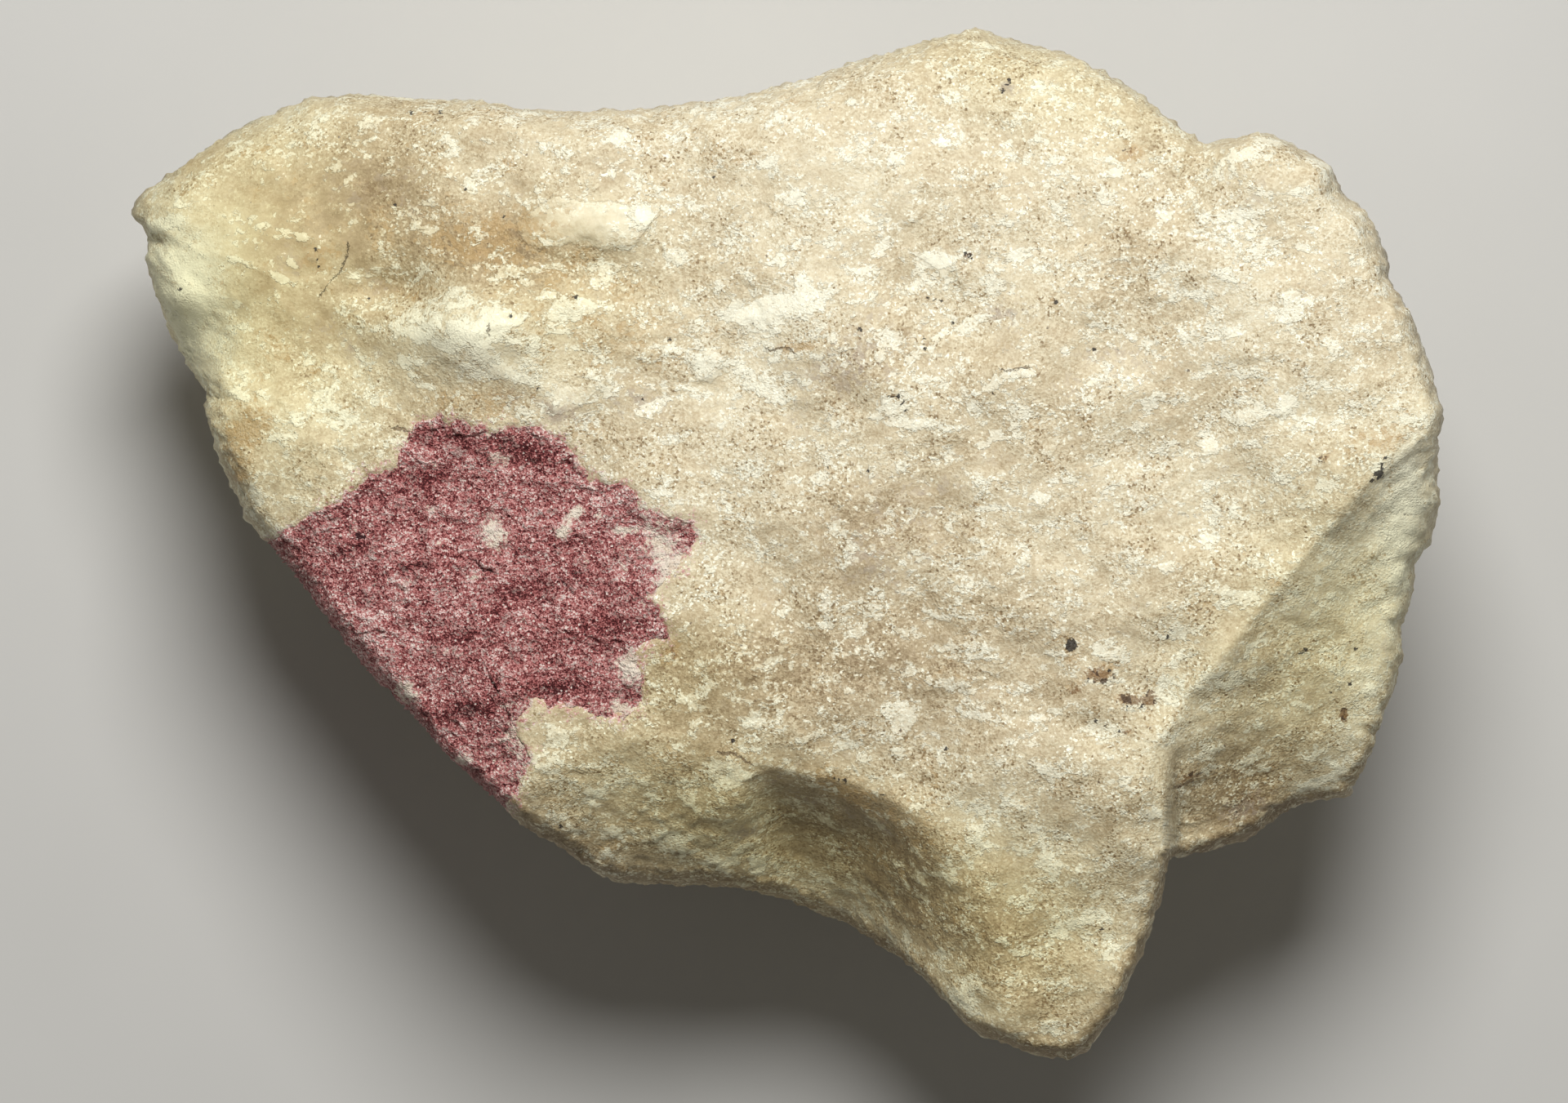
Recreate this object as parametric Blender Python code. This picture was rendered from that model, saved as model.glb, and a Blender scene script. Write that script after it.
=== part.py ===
"""Cinnabar on matrix: a hand-sized lump of pale granular rock with a mass of red cinnabar in its upper face.

The stone lies on its flat broken underside, +Z up, in metres. The origin is on the ground under the middle of
the bounding box. Seen from above, +X is to the right and +Y is away from the stone's pointed nose.

The lump is two skins that share one rim. The rim is the stone's outline, its widest level all round. The
upper skin is a broad face broken by a steep facet, a hollow, a lobe and bumps. The under skin is a fan of
broken facets around a flat resting face. The red mass is the part of the lump inside a tapering plug, and
the rock is the rest of it, with a narrow gap between the two.
"""

import bpy
import bmesh
import numpy as np
from mathutils import Vector

MM = 0.001

# Size of the lump, in millimetres
LEAN = 1 / 693           # the sides close in by this much of the width for each millimetre of height
LEAN_LEVEL = 30.0        # the height at which the outline has its true width
CENTRE = (-0.9, 4.4)     # the point that the whole outline can be seen from
BOX_MIDDLE = (-0.57, -0.06)     # middle of the finished bounding box, moved to the origin
SKIN_CELLS = 46          # cells across each skin
RIM_CROWDING = 1.5       # above 1, the cells get narrower towards the rim

# Outline of the stone at its widest level, clockwise from the left tip, in millimetres
OUTLINE = [
    (-52.1, 26.3), (-51.7, 27.5), (-49.6, 29.1), (-47.0, 31.1), (-44.4, 32.6), (-42.3, 33.8),
    (-39.9, 34.8), (-37.6, 35.6), (-32.7, 35.8), (-28.8, 35.5), (-23.6, 35.2), (-20.1, 34.5),
    (-17.1, 34.5), (-12.6, 34.6), (-7.4, 35.1), (-2.8, 35.9), (1.1, 36.9), (4.3, 38.0),
    (8.9, 39.4), (12.8, 40.5), (15.0, 41.0), (18.3, 40.0), (21.9, 39.2), (25.3, 37.5),
    (28.5, 35.6), (31.0, 33.2), (33.4, 31.8), (35.7, 32.3), (38.0, 32.8), (40.1, 31.8),
    (43.3, 30.2), (44.0, 28.1), (46.1, 26.3), (47.2, 24.5), (48.0, 21.1), (49.7, 18.3),
    (51.3, 13.7), (52.1, 10.5), (51.7, 6.3), (52.0, 3.1), (51.0, -0.2), (49.9, -1.5),
    (49.5, -4.7), (48.8, -6.4), (49.0, -8.6), (47.9, -12.5), (46.2, -17.4), (44.8, -19.8),
    (42.0, -20.3), (39.4, -21.3), (36.8, -23.3), (32.6, -24.6), (30.4, -25.0), (29.7, -28.5),
    (28.8, -31.2), (27.2, -34.6), (25.8, -37.8), (24.7, -39.1), (23.8, -40.4), (22.5, -41.0),
    (19.3, -40.4), (15.4, -39.1), (13.2, -37.1), (11.0, -34.6), (8.5, -32.5), (5.0, -30.3),
    (0.4, -28.3), (-3.8, -27.3), (-9.0, -27.1), (-13.6, -26.8), (-15.5, -25.9), (-18.2, -24.0),
    (-21.0, -22.2), (-24.1, -19.6), (-27.5, -16.3), (-30.0, -13.5), (-33.1, -10.5), (-36.0, -6.8),
    (-38.1, -3.9), (-41.0, -0.3), (-43.1, 2.3), (-44.0, 4.4), (-45.5, 7.7), (-46.3, 10.7),
    (-46.0, 11.8), (-47.3, 13.8), (-49.0, 16.8), (-50.5, 20.9), (-51.1, 22.9), (-50.8, 24.6),
    (-51.7, 25.7),
]

# Upper face: a plane that falls to the left, bent down towards the left end, the nose and the far edge
FACE_HEIGHT = 38.6
FACE_RISE = (0.105, -0.02)
LEFT_BEND = (-12.0, 0.0038)
NOSE_BEND = (-8.0, 0.0062)
FAR_BEND = (20.0, 0.009)

# Steep facet at the right: the ridge it starts at, the distance square to the ridge for each millimetre
# along X, the slope far from the ridge, and the extra depth and reach of the steeper band along the ridge
RIDGE = [
    (24.0, -22.5), (29.7, -16.1), (31.0, -13.2), (34.9, -8.6), (40.1, -2.1), (45.3, 4.0),
    (49.2, 7.7), (54.0, 10.5),
]
RIDGE_SQUARE = 0.75
FACET_FALL = 0.55
FACET_BAND_DEPTH = 2.6
FACET_BAND_REACH = 4.0

# Nose: a step parts it from the steep facet, which lies lower still beside the nose, and a bevel runs down
# the side above the step
NOSE_STEP_X = (29.9, 31.3)
NOSE_STEP_Y = (-17.0, -15.2)
NOSE_DROP = 1.8
NOSE_DROP_Y = (-23.0, -13.0)
NOSE_BEVEL = [(26.2, -38.0), (26.9, -26.8), (27.5, -22.3), (28.3, -19.0), (29.6, -15.6)]
NOSE_BEVEL_WIDTH = 4.6
NOSE_BEVEL_FALL = 0.5

# Brow: the line below which the face breaks into the lobe at its left part and the hollow at its right part.
# Slopes and depths are below that line, and the side between lobe and hollow widens downwards. Where the
# brow turns steep, from one X to the other, the way down from it counts less by the last number
BROW = [
    (-22.0, -19.0), (-17.0, -15.6), (-9.3, -15.1), (-5.4, -16.4), (-2.3, -17.4), (0.5, -18.0),
    (4.4, -18.8), (7.6, -19.8), (10.1, -21.3), (14.5, -24.2), (18.5, -28.5), (21.0, -34.0),
    (24.0, -42.0),
]
LOBE_FALL = 0.75
LOBE_SOFTNESS = 2.5
HOLLOW_LEFT = (-3.0, -1.2)
HOLLOW_LEFT_SPREAD = 0.4
HOLLOW_RIGHT = (5.0, 18.0)
HOLLOW_DEPTH = 3.8
HOLLOW_REACH = 3.2
HOLLOW_FALL = 0.8
BROW_STEEP = (4.0, 12.0, 0.35)

# Left end: a crease with a lower facet outside it
CREASE = [(-47.0, 11.0), (-45.9, 12.2), (-44.4, 14.1), (-43.2, 16.2), (-42.6, 18.0)]
CREASE_FALL = 0.75
CREASE_START = (9.5, 12.0)
CREASE_END = (16.0, 20.0)

# Lumps and dimples of the upper face: middle, half length, half width, turn in degrees, height
SWELLS = [
    ((-26.2, 17.5), 5.8, 3.4, -8, 2.2),
    ((-30.9, 20.2), 4.0, 2.0, -6, -2.1),
    ((-42.0, 22.0), 7.0, 5.0, 60, 1.2),
    ((-40.5, 9.0), 5.0, 4.0, 30, 1.0),
    ((-14.2, 25.6), 4.4, 2.0, -6, 0.6),
    ((-15.0, 21.5), 5.0, 1.8, -6, -0.7),
    ((-5.1, -20.9), 2.6, 1.9, 10, 0.8),
    ((38.0, 29.0), 5.0, 3.5, -25, 1.0),
    ((32.5, 29.5), 5.5, 1.6, 60, -0.9),
    ((12.0, 8.0), 13.0, 8.0, 25, 0.9),
    ((-2.0, 5.0), 9.0, 5.0, 70, -0.8),
    ((24.5, -15.0), 2.2, 1.2, -25, -0.7),
]

# Roll of the upper face into the sides, at angles round the centre: its width, and its drop down to the rim.
# Both wander by a share of their size, in waves of this radius in noise
ROLL = [
    (-180, 2.2, 5.0), (-160, 1.5, 5.0), (-138, 1.2, 6.0), (-112, 1.2, 5.0), (-92, 1.2, 5.0), (-70, 1.2, 5.0),
    (-52, 1.2, 4.5), (-20, 1.4, 4.0), (5, 1.6, 5.0), (30, 2.0, 6.0), (60, 2.6, 6.0), (90, 3.4, 6.5),
    (130, 3.6, 7.0), (155, 3.0, 5.0), (180, 2.2, 5.0),
]
ROLL_ROUNDNESS = 2.2
ROLL_WANDER = 0.45
ROLL_WAVES = 6.0

# Underside: facets that rise from the resting face, low ones inside and steep ones outside them, each as
# direction in degrees, distance from the middle, and slope. They are bent by the warp and dug into by the
# inset, each as size across and depth, and the inset fades out towards the rim and the resting face
UNDER_FACETS = [
    (8, 26, 0.85), (47, 23, 0.7), (88, 18, 1.0), (126, 22, 0.6), (163, 31, 0.65),
    (205, 21, 0.75), (243, 14, 0.85), (284, 18, 0.55), (322, 24, 0.8), (350, 41, 2.6),
    (22, 42, 3.2), (62, 37, 2.2), (97, 29, 3.0), (137, 37, 2.0), (172, 44, 2.4),
    (212, 34, 2.8), (238, 25, 3.4), (268, 25, 2.2), (304, 36, 2.6), (326, 36, 1.9),
]
UNDER_MIDDLE = (1.0, 3.0)
UNDER_ROLL = 3.0
UNDER_WARP = [(13.0, 2.4), (5.5, 0.8)]
UNDER_NOISE_AT = 57.0
UNDER_INSET = [(11.0, 3.2), (5.0, 1.2)]
INSET_CONTRAST = 0.8
INSET_BELOW_RIM = 5.0
INSET_ABOVE_GROUND = 14.0
UNDER_CLEARANCE = 1.0
LUMPS_ABOVE_GROUND = 3.0

# Lumps all over: size across and height of each kind. Low ridges of the red mass: length, width, height
LUMPS = [(15.0, 1.2), (6.5, 0.6), (3.4, 0.25)]
RED_RIDGES = (4.2, 2.4, 0.35)

# Red mass: its ragged border on the upper face, clockwise, then four corners beyond the stone's side. It
# reaches this deep, and its floor is the border drawn in towards a point on the stone's side, with lumps
PATCH = [
    (-41.1, 0.5), (-38.4, 2.0), (-35.7, 4.0), (-33.2, 5.7), (-31.2, 6.4), (-30.5, 9.0),
    (-27.7, 10.3), (-24.0, 9.4), (-21.5, 9.4), (-19.3, 9.4), (-16.7, 7.4), (-15.8, 5.2),
    (-12.5, 4.7), (-11.0, 2.7), (-7.3, 1.9), (-7.1, 0.4), (-8.3, -2.0), (-10.6, -4.3),
    (-9.5, -6.2), (-9.6, -7.5), (-12.0, -8.7), (-11.2, -12.7), (-13.3, -14.2), (-16.7, -13.2),
    (-20.0, -13.0), (-21.7, -14.7), (-20.3, -17.0), (-21.2, -19.7),
]
PATCH_OUTSIDE = [(-24.5, -24.5), (-33.0, -19.0), (-43.0, -8.0), (-46.5, -1.5)]
PATCH_DEPTH = 7.0
PATCH_FLOOR_LUMPS = (7.0, 2.0)
PATCH_EDGE = (-0.2, 1.6)
PATCH_CLOSING = 0.72
PATCH_HINGE = (-36.0, -8.0)
PATCH_RECESS = 0.4
GAP = 0.3
ABOVE_THE_STONE = 60.0
WELD = 0.02

# Colours of the two minerals
MATRIX_COLOUR = (0.66, 0.59, 0.42, 1.0)
CINNABAR_COLOUR = (0.33, 0.10, 0.09, 1.0)

RANDOM = np.random.default_rng(11)
ORDER = RANDOM.permutation(256)
SLOPES = RANDOM.normal(size=(256, 3))
SLOPES /= np.linalg.norm(SLOPES, axis=1, keepdims=True)
NOISE_SPREAD = 1.6


def clear_scene():
    """Remove every object of the start-up scene."""
    for thing in list(bpy.data.objects):
        bpy.data.objects.remove(thing, do_unlink=True)


def noise(points):
    """Smooth noise, about -1 to 1: random slopes at whole-number corners, eased together between them."""
    cell = np.floor(points).astype(int)
    local = points - cell
    ease = local ** 3 * (local * (6 * local - 15) + 10)
    total = np.zeros(len(points))
    for corner in np.ndindex(2, 2, 2):
        key = (cell + corner) & 255
        pick = ORDER[(ORDER[(ORDER[key[:, 0]] + key[:, 1]) & 255] + key[:, 2]) & 255]
        weight = np.prod(np.where(np.array(corner) == 1, ease, 1 - ease), axis=1)
        total += weight * np.sum(SLOPES[pick] * (local - corner), axis=1)
    return NOISE_SPREAD * total


def step(value, low, high):
    """0 below low, 1 above high, and a smooth rise between."""
    part = np.clip((value - low) / (high - low), 0, 1)
    return part * part * (3 - 2 * part)


def along_line(position, positions, values):
    """Value along a line of hand-set points, with its corners rounded over three millimetres."""
    offsets = np.linspace(-1.5, 1.5, 5)
    return sum(np.interp(position + offset, positions, values) for offset in offsets) / len(offsets)


def outline_radius(angle):
    """Distance from the centre to the outline in a direction, straight between the outline's points."""
    corners = np.array(OUTLINE + OUTLINE[:1]) - CENTRE
    start = corners[:-1]
    edge = corners[1:] - start
    ray = np.stack([np.cos(angle), np.sin(angle)], axis=1)[:, None, :]
    cross = ray[..., 0] * edge[:, 1] - ray[..., 1] * edge[:, 0]
    along = (start[:, 0] * ray[..., 1] - start[:, 1] * ray[..., 0]) / cross
    reach = (start[:, 0] * edge[:, 1] - start[:, 1] * edge[:, 0]) / cross
    hit = (along >= -1e-9) & (along <= 1 + 1e-9) & (reach > 0)
    return np.max(np.where(hit, reach, 0), axis=1)


def depth_inside(x, y, border):
    """Distance to a closed border, above 0 inside it and below 0 outside it."""
    corners = np.array(border)
    following = np.roll(corners, -1, axis=0)
    edge = following - corners
    away = np.stack([x, y], axis=1)[:, None, :] - corners
    along = np.clip(np.sum(away * edge, axis=2) / np.sum(edge * edge, axis=1), 0, 1)
    nearest = np.linalg.norm(away - along[..., None] * edge, axis=2).min(axis=1)
    spans = (corners[:, 1] > y[:, None]) != (following[:, 1] > y[:, None])
    rise = np.where(edge[:, 1] == 0, 1, edge[:, 1])
    crossing = corners[:, 0] + (y[:, None] - corners[:, 1]) * edge[:, 0] / rise
    inside = np.sum(spans & (crossing > x[:, None]), axis=1) % 2 == 1
    return np.where(inside, nearest, -nearest)


def plain_face(x, y):
    """Height of the upper face before anything breaks it: a tilted plane, bent down at three sides."""
    z = FACE_HEIGHT + FACE_RISE[0] * x + FACE_RISE[1] * y
    z -= LEFT_BEND[1] * np.minimum(x - LEFT_BEND[0], 0) ** 2
    z -= NOSE_BEND[1] * np.minimum(y - NOSE_BEND[0], 0) ** 2
    z -= FAR_BEND[1] * np.maximum(y - FAR_BEND[0], 0) ** 2
    return z


def upper_face(x, y):
    """Height of the upper face: bent plane, less facet, hollow, lobe and crease, plus swells and lumps."""
    z = plain_face(x, y)

    ridge_x, ridge_y = np.array(RIDGE).T
    fall = RIDGE_SQUARE * np.maximum(x - along_line(y, ridge_y, ridge_x), 0)
    beyond_step = np.maximum(step(x, *NOSE_STEP_X), step(y, *NOSE_STEP_Y))
    band = FACET_BAND_DEPTH * (1 - np.exp(-fall / FACET_BAND_REACH))
    z -= (FACET_FALL * fall + band) * beyond_step
    z -= NOSE_DROP * step(x, *NOSE_STEP_X) * (1 - step(y, *NOSE_DROP_Y))

    bevel_x, bevel_y = np.array(NOSE_BEVEL).T
    bevel = np.clip(x - np.interp(y, bevel_y, bevel_x), 0, NOSE_BEVEL_WIDTH)
    z -= NOSE_BEVEL_FALL * bevel * (1 - beyond_step) * (1 - step(y, *NOSE_STEP_Y))

    brow_x, brow_y = np.array(BROW).T
    steep_start, steep_end, less = BROW_STEEP
    under = np.maximum(along_line(x, brow_x, brow_y) - y, 0) * (1 - less * step(x, steep_start, steep_end))
    spread = HOLLOW_LEFT_SPREAD * under
    hollow_side = step(x, HOLLOW_LEFT[0] - spread, HOLLOW_LEFT[1] + spread)
    hollow = hollow_side * (1 - step(x, *HOLLOW_RIGHT))
    z -= (1 - hollow_side) * LOBE_FALL * under ** 2 / (under + LOBE_SOFTNESS)
    z -= hollow * (HOLLOW_DEPTH * (1 - np.exp(-(under / HOLLOW_REACH) ** 2)) + HOLLOW_FALL * under)

    crease_x, crease_y = np.array(CREASE).T
    outside = np.maximum(np.interp(y, crease_y, crease_x) - x, 0)
    z -= CREASE_FALL * outside * step(y, *CREASE_START) * (1 - step(y, *CREASE_END))

    for middle, long_half, short_half, turn, height in SWELLS:
        along = np.array([np.cos(np.radians(turn)), np.sin(np.radians(turn))])
        u = ((x - middle[0]) * along[0] + (y - middle[1]) * along[1]) / long_half
        v = ((y - middle[1]) * along[0] - (x - middle[0]) * along[1]) / short_half
        z += height * np.exp(-(u * u + v * v))

    flat = np.stack([x, y, np.zeros(len(x))], axis=1)
    for size, height in LUMPS:
        z += height * noise(flat / size + size)

    in_red = step(depth_inside(x, y, PATCH + PATCH_OUTSIDE), *PATCH_EDGE)
    long_size, short_size, ridge_height = RED_RIDGES
    z += in_red * (ridge_height * noise(flat / (long_size, short_size, 1)) - PATCH_RECESS)
    return z


def roll_at(angle):
    """Width of the roll at each angle, and its drop from the upper face down to the rim."""
    angles, widths, drops = np.array(ROLL).T
    degrees = np.degrees(angle)
    around = np.stack([np.cos(angle), np.sin(angle), np.zeros(len(angle))], axis=1)
    wander = 1 + ROLL_WANDER * noise(ROLL_WAVES * around)
    return np.interp(degrees, angles, widths) * wander, np.interp(degrees, angles, drops) * wander


def under_face(x, y):
    """Height of the underside: 0 on the resting face, and the highest of the facets outside it.

    The facets are bent and dimpled by looking them up at points pushed aside by noise.
    """
    points = np.stack([x, y, np.zeros(len(x))], axis=1) + UNDER_NOISE_AT
    warped_x = x + sum(shift * noise(points / size) for size, shift in UNDER_WARP)
    warped_y = y + sum(shift * noise((points + UNDER_NOISE_AT) / size) for size, shift in UNDER_WARP)
    z = np.zeros(len(x))
    for direction, distance, slope in UNDER_FACETS:
        out_x, out_y = np.cos(np.radians(direction)), np.sin(np.radians(direction))
        reach = (warped_x - UNDER_MIDDLE[0]) * out_x + (warped_y - UNDER_MIDDLE[1]) * out_y - distance
        z = np.maximum(z, slope * reach)
    rough = sum(height * noise(points / size) for size, height in LUMPS)
    return np.maximum(z + step(z, 0, LUMPS_ABOVE_GROUND) * rough, 0)


def shape_skin(vertices, upper):
    """Move a square grid of vertices onto the upper skin or the under skin.

    The grid's square rings become copies of the outline, closer together near the rim. Height goes from the
    rim's own to the face's across the roll, along a quarter of a superellipse.
    """
    square = np.array([vertex.co[:2] for vertex in vertices])
    ring = np.max(np.abs(square), axis=1)
    wide = np.abs(square[:, 0]) >= np.abs(square[:, 1])
    safe = np.where(np.abs(square) < 1e-9, 1e-9, square)
    turn = np.where(wide, safe[:, 1] / safe[:, 0], 2 - safe[:, 0] / safe[:, 1]) * np.pi / 4
    turn += np.where(np.where(wide, safe[:, 0], safe[:, 1]) < 0, np.pi, 0)
    angle = (turn + np.pi) % (2 * np.pi) - np.pi

    radius = outline_radius(angle)
    part = 1 - (1 - ring) ** RIM_CROWDING
    x = CENTRE[0] + radius * part * np.cos(angle)
    y = CENTRE[1] + radius * part * np.sin(angle)
    inward = radius * (1 - part)

    roll, drop = roll_at(angle)
    rim = upper_face(CENTRE[0] + radius * np.cos(angle), CENTRE[1] + radius * np.sin(angle)) - drop
    if upper:
        face = upper_face(x, y)
    else:
        roll = UNDER_ROLL
        face = np.minimum(under_face(x, y), rim - UNDER_CLEARANCE)
    rise = (1 - (1 - np.minimum(inward / roll, 1)) ** ROLL_ROUNDNESS) ** (1 / ROLL_ROUNDNESS)
    z = rim + (face - rim) * rise
    if not upper:
        place = np.stack([x, y, z], axis=1)
        inset = sum(depth * np.clip(0.5 + INSET_CONTRAST * noise(place / size), 0, 1)
                    for size, depth in UNDER_INSET)
        inset *= step(rim - z, 0, INSET_BELOW_RIM) * step(z, 0, INSET_ABOVE_GROUND)
        x -= inset * np.cos(angle)
        y -= inset * np.sin(angle)
    lean = 1 - LEAN * (z - LEAN_LEVEL)
    places = np.stack([x * lean - BOX_MIDDLE[0], y * lean - BOX_MIDDLE[1], z], axis=1)
    for vertex, place in zip(vertices, places * MM):
        vertex.co = place


def stone_mesh(name):
    """The whole lump as one closed mesh: two grids shaped into skins and welded along the rim."""
    shape = bmesh.new()
    upper = bmesh.ops.create_grid(shape, x_segments=SKIN_CELLS, y_segments=SKIN_CELLS, size=1)["verts"]
    under = bmesh.ops.create_grid(shape, x_segments=SKIN_CELLS, y_segments=SKIN_CELLS, size=1)["verts"]
    shape_skin(upper, True)
    shape_skin(under, False)
    bmesh.ops.remove_doubles(shape, verts=shape.verts, dist=WELD * MM)
    bmesh.ops.triangulate(shape, faces=shape.faces)
    bmesh.ops.recalc_face_normals(shape, faces=shape.faces)
    mesh = bpy.data.meshes.new(name)
    shape.to_mesh(mesh)
    shape.free()
    return mesh


def grown(border, distance):
    """A closed border moved outwards by a distance, each corner along the line that halves its angle."""
    corners = np.array(border)
    before = corners - np.roll(corners, 1, axis=0)
    after = np.roll(corners, -1, axis=0) - corners
    before /= np.linalg.norm(before, axis=1, keepdims=True)
    after /= np.linalg.norm(after, axis=1, keepdims=True)
    normal_before = np.stack([-before[:, 1], before[:, 0]], axis=1)
    normal_after = np.stack([-after[:, 1], after[:, 0]], axis=1)
    halfway = normal_before + normal_after
    return corners + distance * 2 * halfway / np.sum(halfway * halfway, axis=1, keepdims=True)


def mass_cutter(name, extra, collection):
    """A tapering plug in the shape of the red mass, made larger all round by extra millimetres.

    Its floor is one face, lifted into a prism whose top corners go out to the border and above the stone. The
    floor is then divided once and given its lumps.
    """
    top = grown(PATCH + PATCH_OUTSIDE, extra)
    hinge = np.array(PATCH_HINGE)
    bottom = grown(hinge + (np.array(PATCH + PATCH_OUTSIDE) - hinge) * PATCH_CLOSING, extra)
    floor = plain_face(bottom[:, 0], bottom[:, 1]) - PATCH_DEPTH - extra

    plug = bmesh.new()
    corners = [plug.verts.new(Vector((x, y, z)) * MM) for (x, y), z in zip(bottom - BOX_MIDDLE, floor)]
    base = plug.faces.new(corners)
    lifted = bmesh.ops.extrude_face_region(plug, geom=[base])["geom"]
    upper = [item for item in lifted if isinstance(item, bmesh.types.BMVert)]
    for vertex in upper:
        nearest = min(range(len(bottom)), key=lambda i: (corners[i].co - vertex.co).length)
        vertex.co = Vector((*(top[nearest] - BOX_MIDDLE), ABOVE_THE_STONE)) * MM
    bmesh.ops.triangulate(plug, faces=plug.faces)
    below = [edge for edge in plug.edges if all(vertex not in upper for vertex in edge.verts)]
    bmesh.ops.subdivide_edges(plug, edges=below, cuts=1)
    bmesh.ops.triangulate(plug, faces=plug.faces)
    lowest = [vertex for vertex in plug.verts if vertex not in upper]
    size, height = PATCH_FLOOR_LUMPS
    spots = np.array([(vertex.co.x / MM, vertex.co.y / MM, 0) for vertex in lowest])
    for vertex, lump in zip(lowest, height * noise(spots / size)):
        vertex.co.z += lump * MM
    bmesh.ops.recalc_face_normals(plug, faces=plug.faces)
    mesh = bpy.data.meshes.new(name)
    plug.to_mesh(mesh)
    plug.free()
    cutter = bpy.data.objects.new(name, mesh)
    cutter.hide_render = True
    cutter.display_type = "WIRE"
    collection.objects.link(cutter)
    return cutter


def mineral(name, colour, roughness):
    """A plain stone material."""
    material = bpy.data.materials.new(name)
    material.use_nodes = True
    shader = material.node_tree.nodes["Principled BSDF"]
    shader.inputs["Base Color"].default_value = colour
    shader.inputs["Roughness"].default_value = roughness
    shader.inputs["Metallic"].default_value = 0.0
    return material


def cut_stone(name, operation, cutter, material, collection):
    """One mineral of the stone: the whole lump, kept or cut away inside the plug."""
    piece = bpy.data.objects.new(name, stone_mesh(name))
    piece.data.materials.append(material)
    collection.objects.link(piece)
    cut = piece.modifiers.new("plug", "BOOLEAN")
    cut.operation = operation
    cut.object = cutter
    cut.solver = "EXACT"
    return piece


clear_scene()
stone = bpy.data.collections.new("cinnabar_on_matrix")
cutters = bpy.data.collections.new("cutters")
bpy.context.scene.collection.children.link(stone)
bpy.context.scene.collection.children.link(cutters)

socket = mass_cutter("socket_cutter", GAP, cutters)
mass = mass_cutter("mass_cutter", 0.0, cutters)
cut_stone("matrix", "DIFFERENCE", socket, mineral("matrix_rock", MATRIX_COLOUR, 0.75), stone)
cut_stone("cinnabar", "INTERSECT", mass, mineral("cinnabar_red", CINNABAR_COLOUR, 0.9), stone)
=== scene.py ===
import bpy
import numpy as np
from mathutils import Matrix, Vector


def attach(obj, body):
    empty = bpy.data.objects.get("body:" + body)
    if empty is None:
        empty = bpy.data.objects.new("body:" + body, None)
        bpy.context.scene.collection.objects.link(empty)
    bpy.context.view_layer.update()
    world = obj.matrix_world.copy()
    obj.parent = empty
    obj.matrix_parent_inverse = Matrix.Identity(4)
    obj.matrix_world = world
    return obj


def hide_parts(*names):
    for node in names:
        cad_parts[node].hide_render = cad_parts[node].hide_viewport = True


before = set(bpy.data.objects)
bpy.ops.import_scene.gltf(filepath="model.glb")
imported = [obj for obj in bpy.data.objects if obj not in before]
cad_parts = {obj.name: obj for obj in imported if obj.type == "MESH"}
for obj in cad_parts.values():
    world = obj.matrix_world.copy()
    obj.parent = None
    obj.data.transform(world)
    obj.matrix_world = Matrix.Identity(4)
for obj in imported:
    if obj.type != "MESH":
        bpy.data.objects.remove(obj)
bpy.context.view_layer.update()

# Matrix: a hand-sized lump of pale, sugary rock, broken all round, lying on its flat underside.
# It is one natural piece. Its upper face carries the pocket that the red ore fills, and its surface is the
# CAD lump's own, with the chips, ledges and grains that fracture left on it. Tiny pits are only painted
# shade.

MM = 0.001
LEAN = 1 / 693                  # the sides close in by this much of the width for each millimetre of height
LEAN_LEVEL = 30.0               # the height at which the plan is the outline's own
CENTRE = (-0.9, 4.4)            # the point that the whole outline can be seen from
BOX_MIDDLE = (-0.57, -0.06)     # moved to the origin at the end

# Outline at the widest level, clockwise from the left tip
OUTLINE = [
    (-52.1, 26.3), (-51.7, 27.5), (-49.6, 29.1), (-47.0, 31.1), (-44.4, 32.6), (-42.3, 33.8),
    (-39.9, 34.8), (-37.6, 35.6), (-32.7, 35.8), (-28.8, 35.5), (-23.6, 35.2), (-20.1, 34.5),
    (-17.1, 34.5), (-12.6, 34.6), (-7.4, 35.1), (-2.8, 35.9), (1.1, 36.9), (4.3, 38.0),
    (8.9, 39.4), (12.8, 40.5), (15.0, 41.0), (18.3, 40.0), (21.9, 39.2), (25.3, 37.5),
    (28.5, 35.6), (31.0, 33.2), (33.4, 31.8), (35.7, 32.3), (38.0, 32.8), (40.1, 31.8),
    (43.3, 30.2), (44.0, 28.1), (46.1, 26.3), (47.2, 24.5), (48.0, 21.1), (49.7, 18.3),
    (51.3, 13.7), (52.1, 10.5), (51.7, 6.3), (52.0, 3.1), (51.0, -0.2), (49.9, -1.5),
    (49.5, -4.7), (48.8, -6.4), (49.0, -8.6), (47.9, -12.5), (46.2, -17.4), (44.8, -19.8),
    (42.0, -20.3), (39.4, -21.3), (36.8, -23.3), (32.6, -24.6), (30.4, -25.0), (29.7, -28.5),
    (28.8, -31.2), (27.2, -34.6), (25.8, -37.8), (24.7, -39.1), (23.8, -40.4), (22.5, -41.0),
    (19.3, -40.4), (15.4, -39.1), (13.2, -37.1), (11.0, -34.6), (8.5, -32.5), (5.0, -30.3),
    (0.4, -28.3), (-3.8, -27.3), (-9.0, -27.1), (-13.6, -26.8), (-15.5, -25.9), (-18.2, -24.0),
    (-21.0, -22.2), (-24.1, -19.6), (-27.5, -16.3), (-30.0, -13.5), (-33.1, -10.5), (-36.0, -6.8),
    (-38.1, -3.9), (-41.0, -0.3), (-43.1, 2.3), (-44.0, 4.4), (-45.5, 7.7), (-46.3, 10.7),
    (-46.0, 11.8), (-47.3, 13.8), (-49.0, 16.8), (-50.5, 20.9), (-51.1, 22.9), (-50.8, 24.6),
    (-51.7, 25.7),
]

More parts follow.
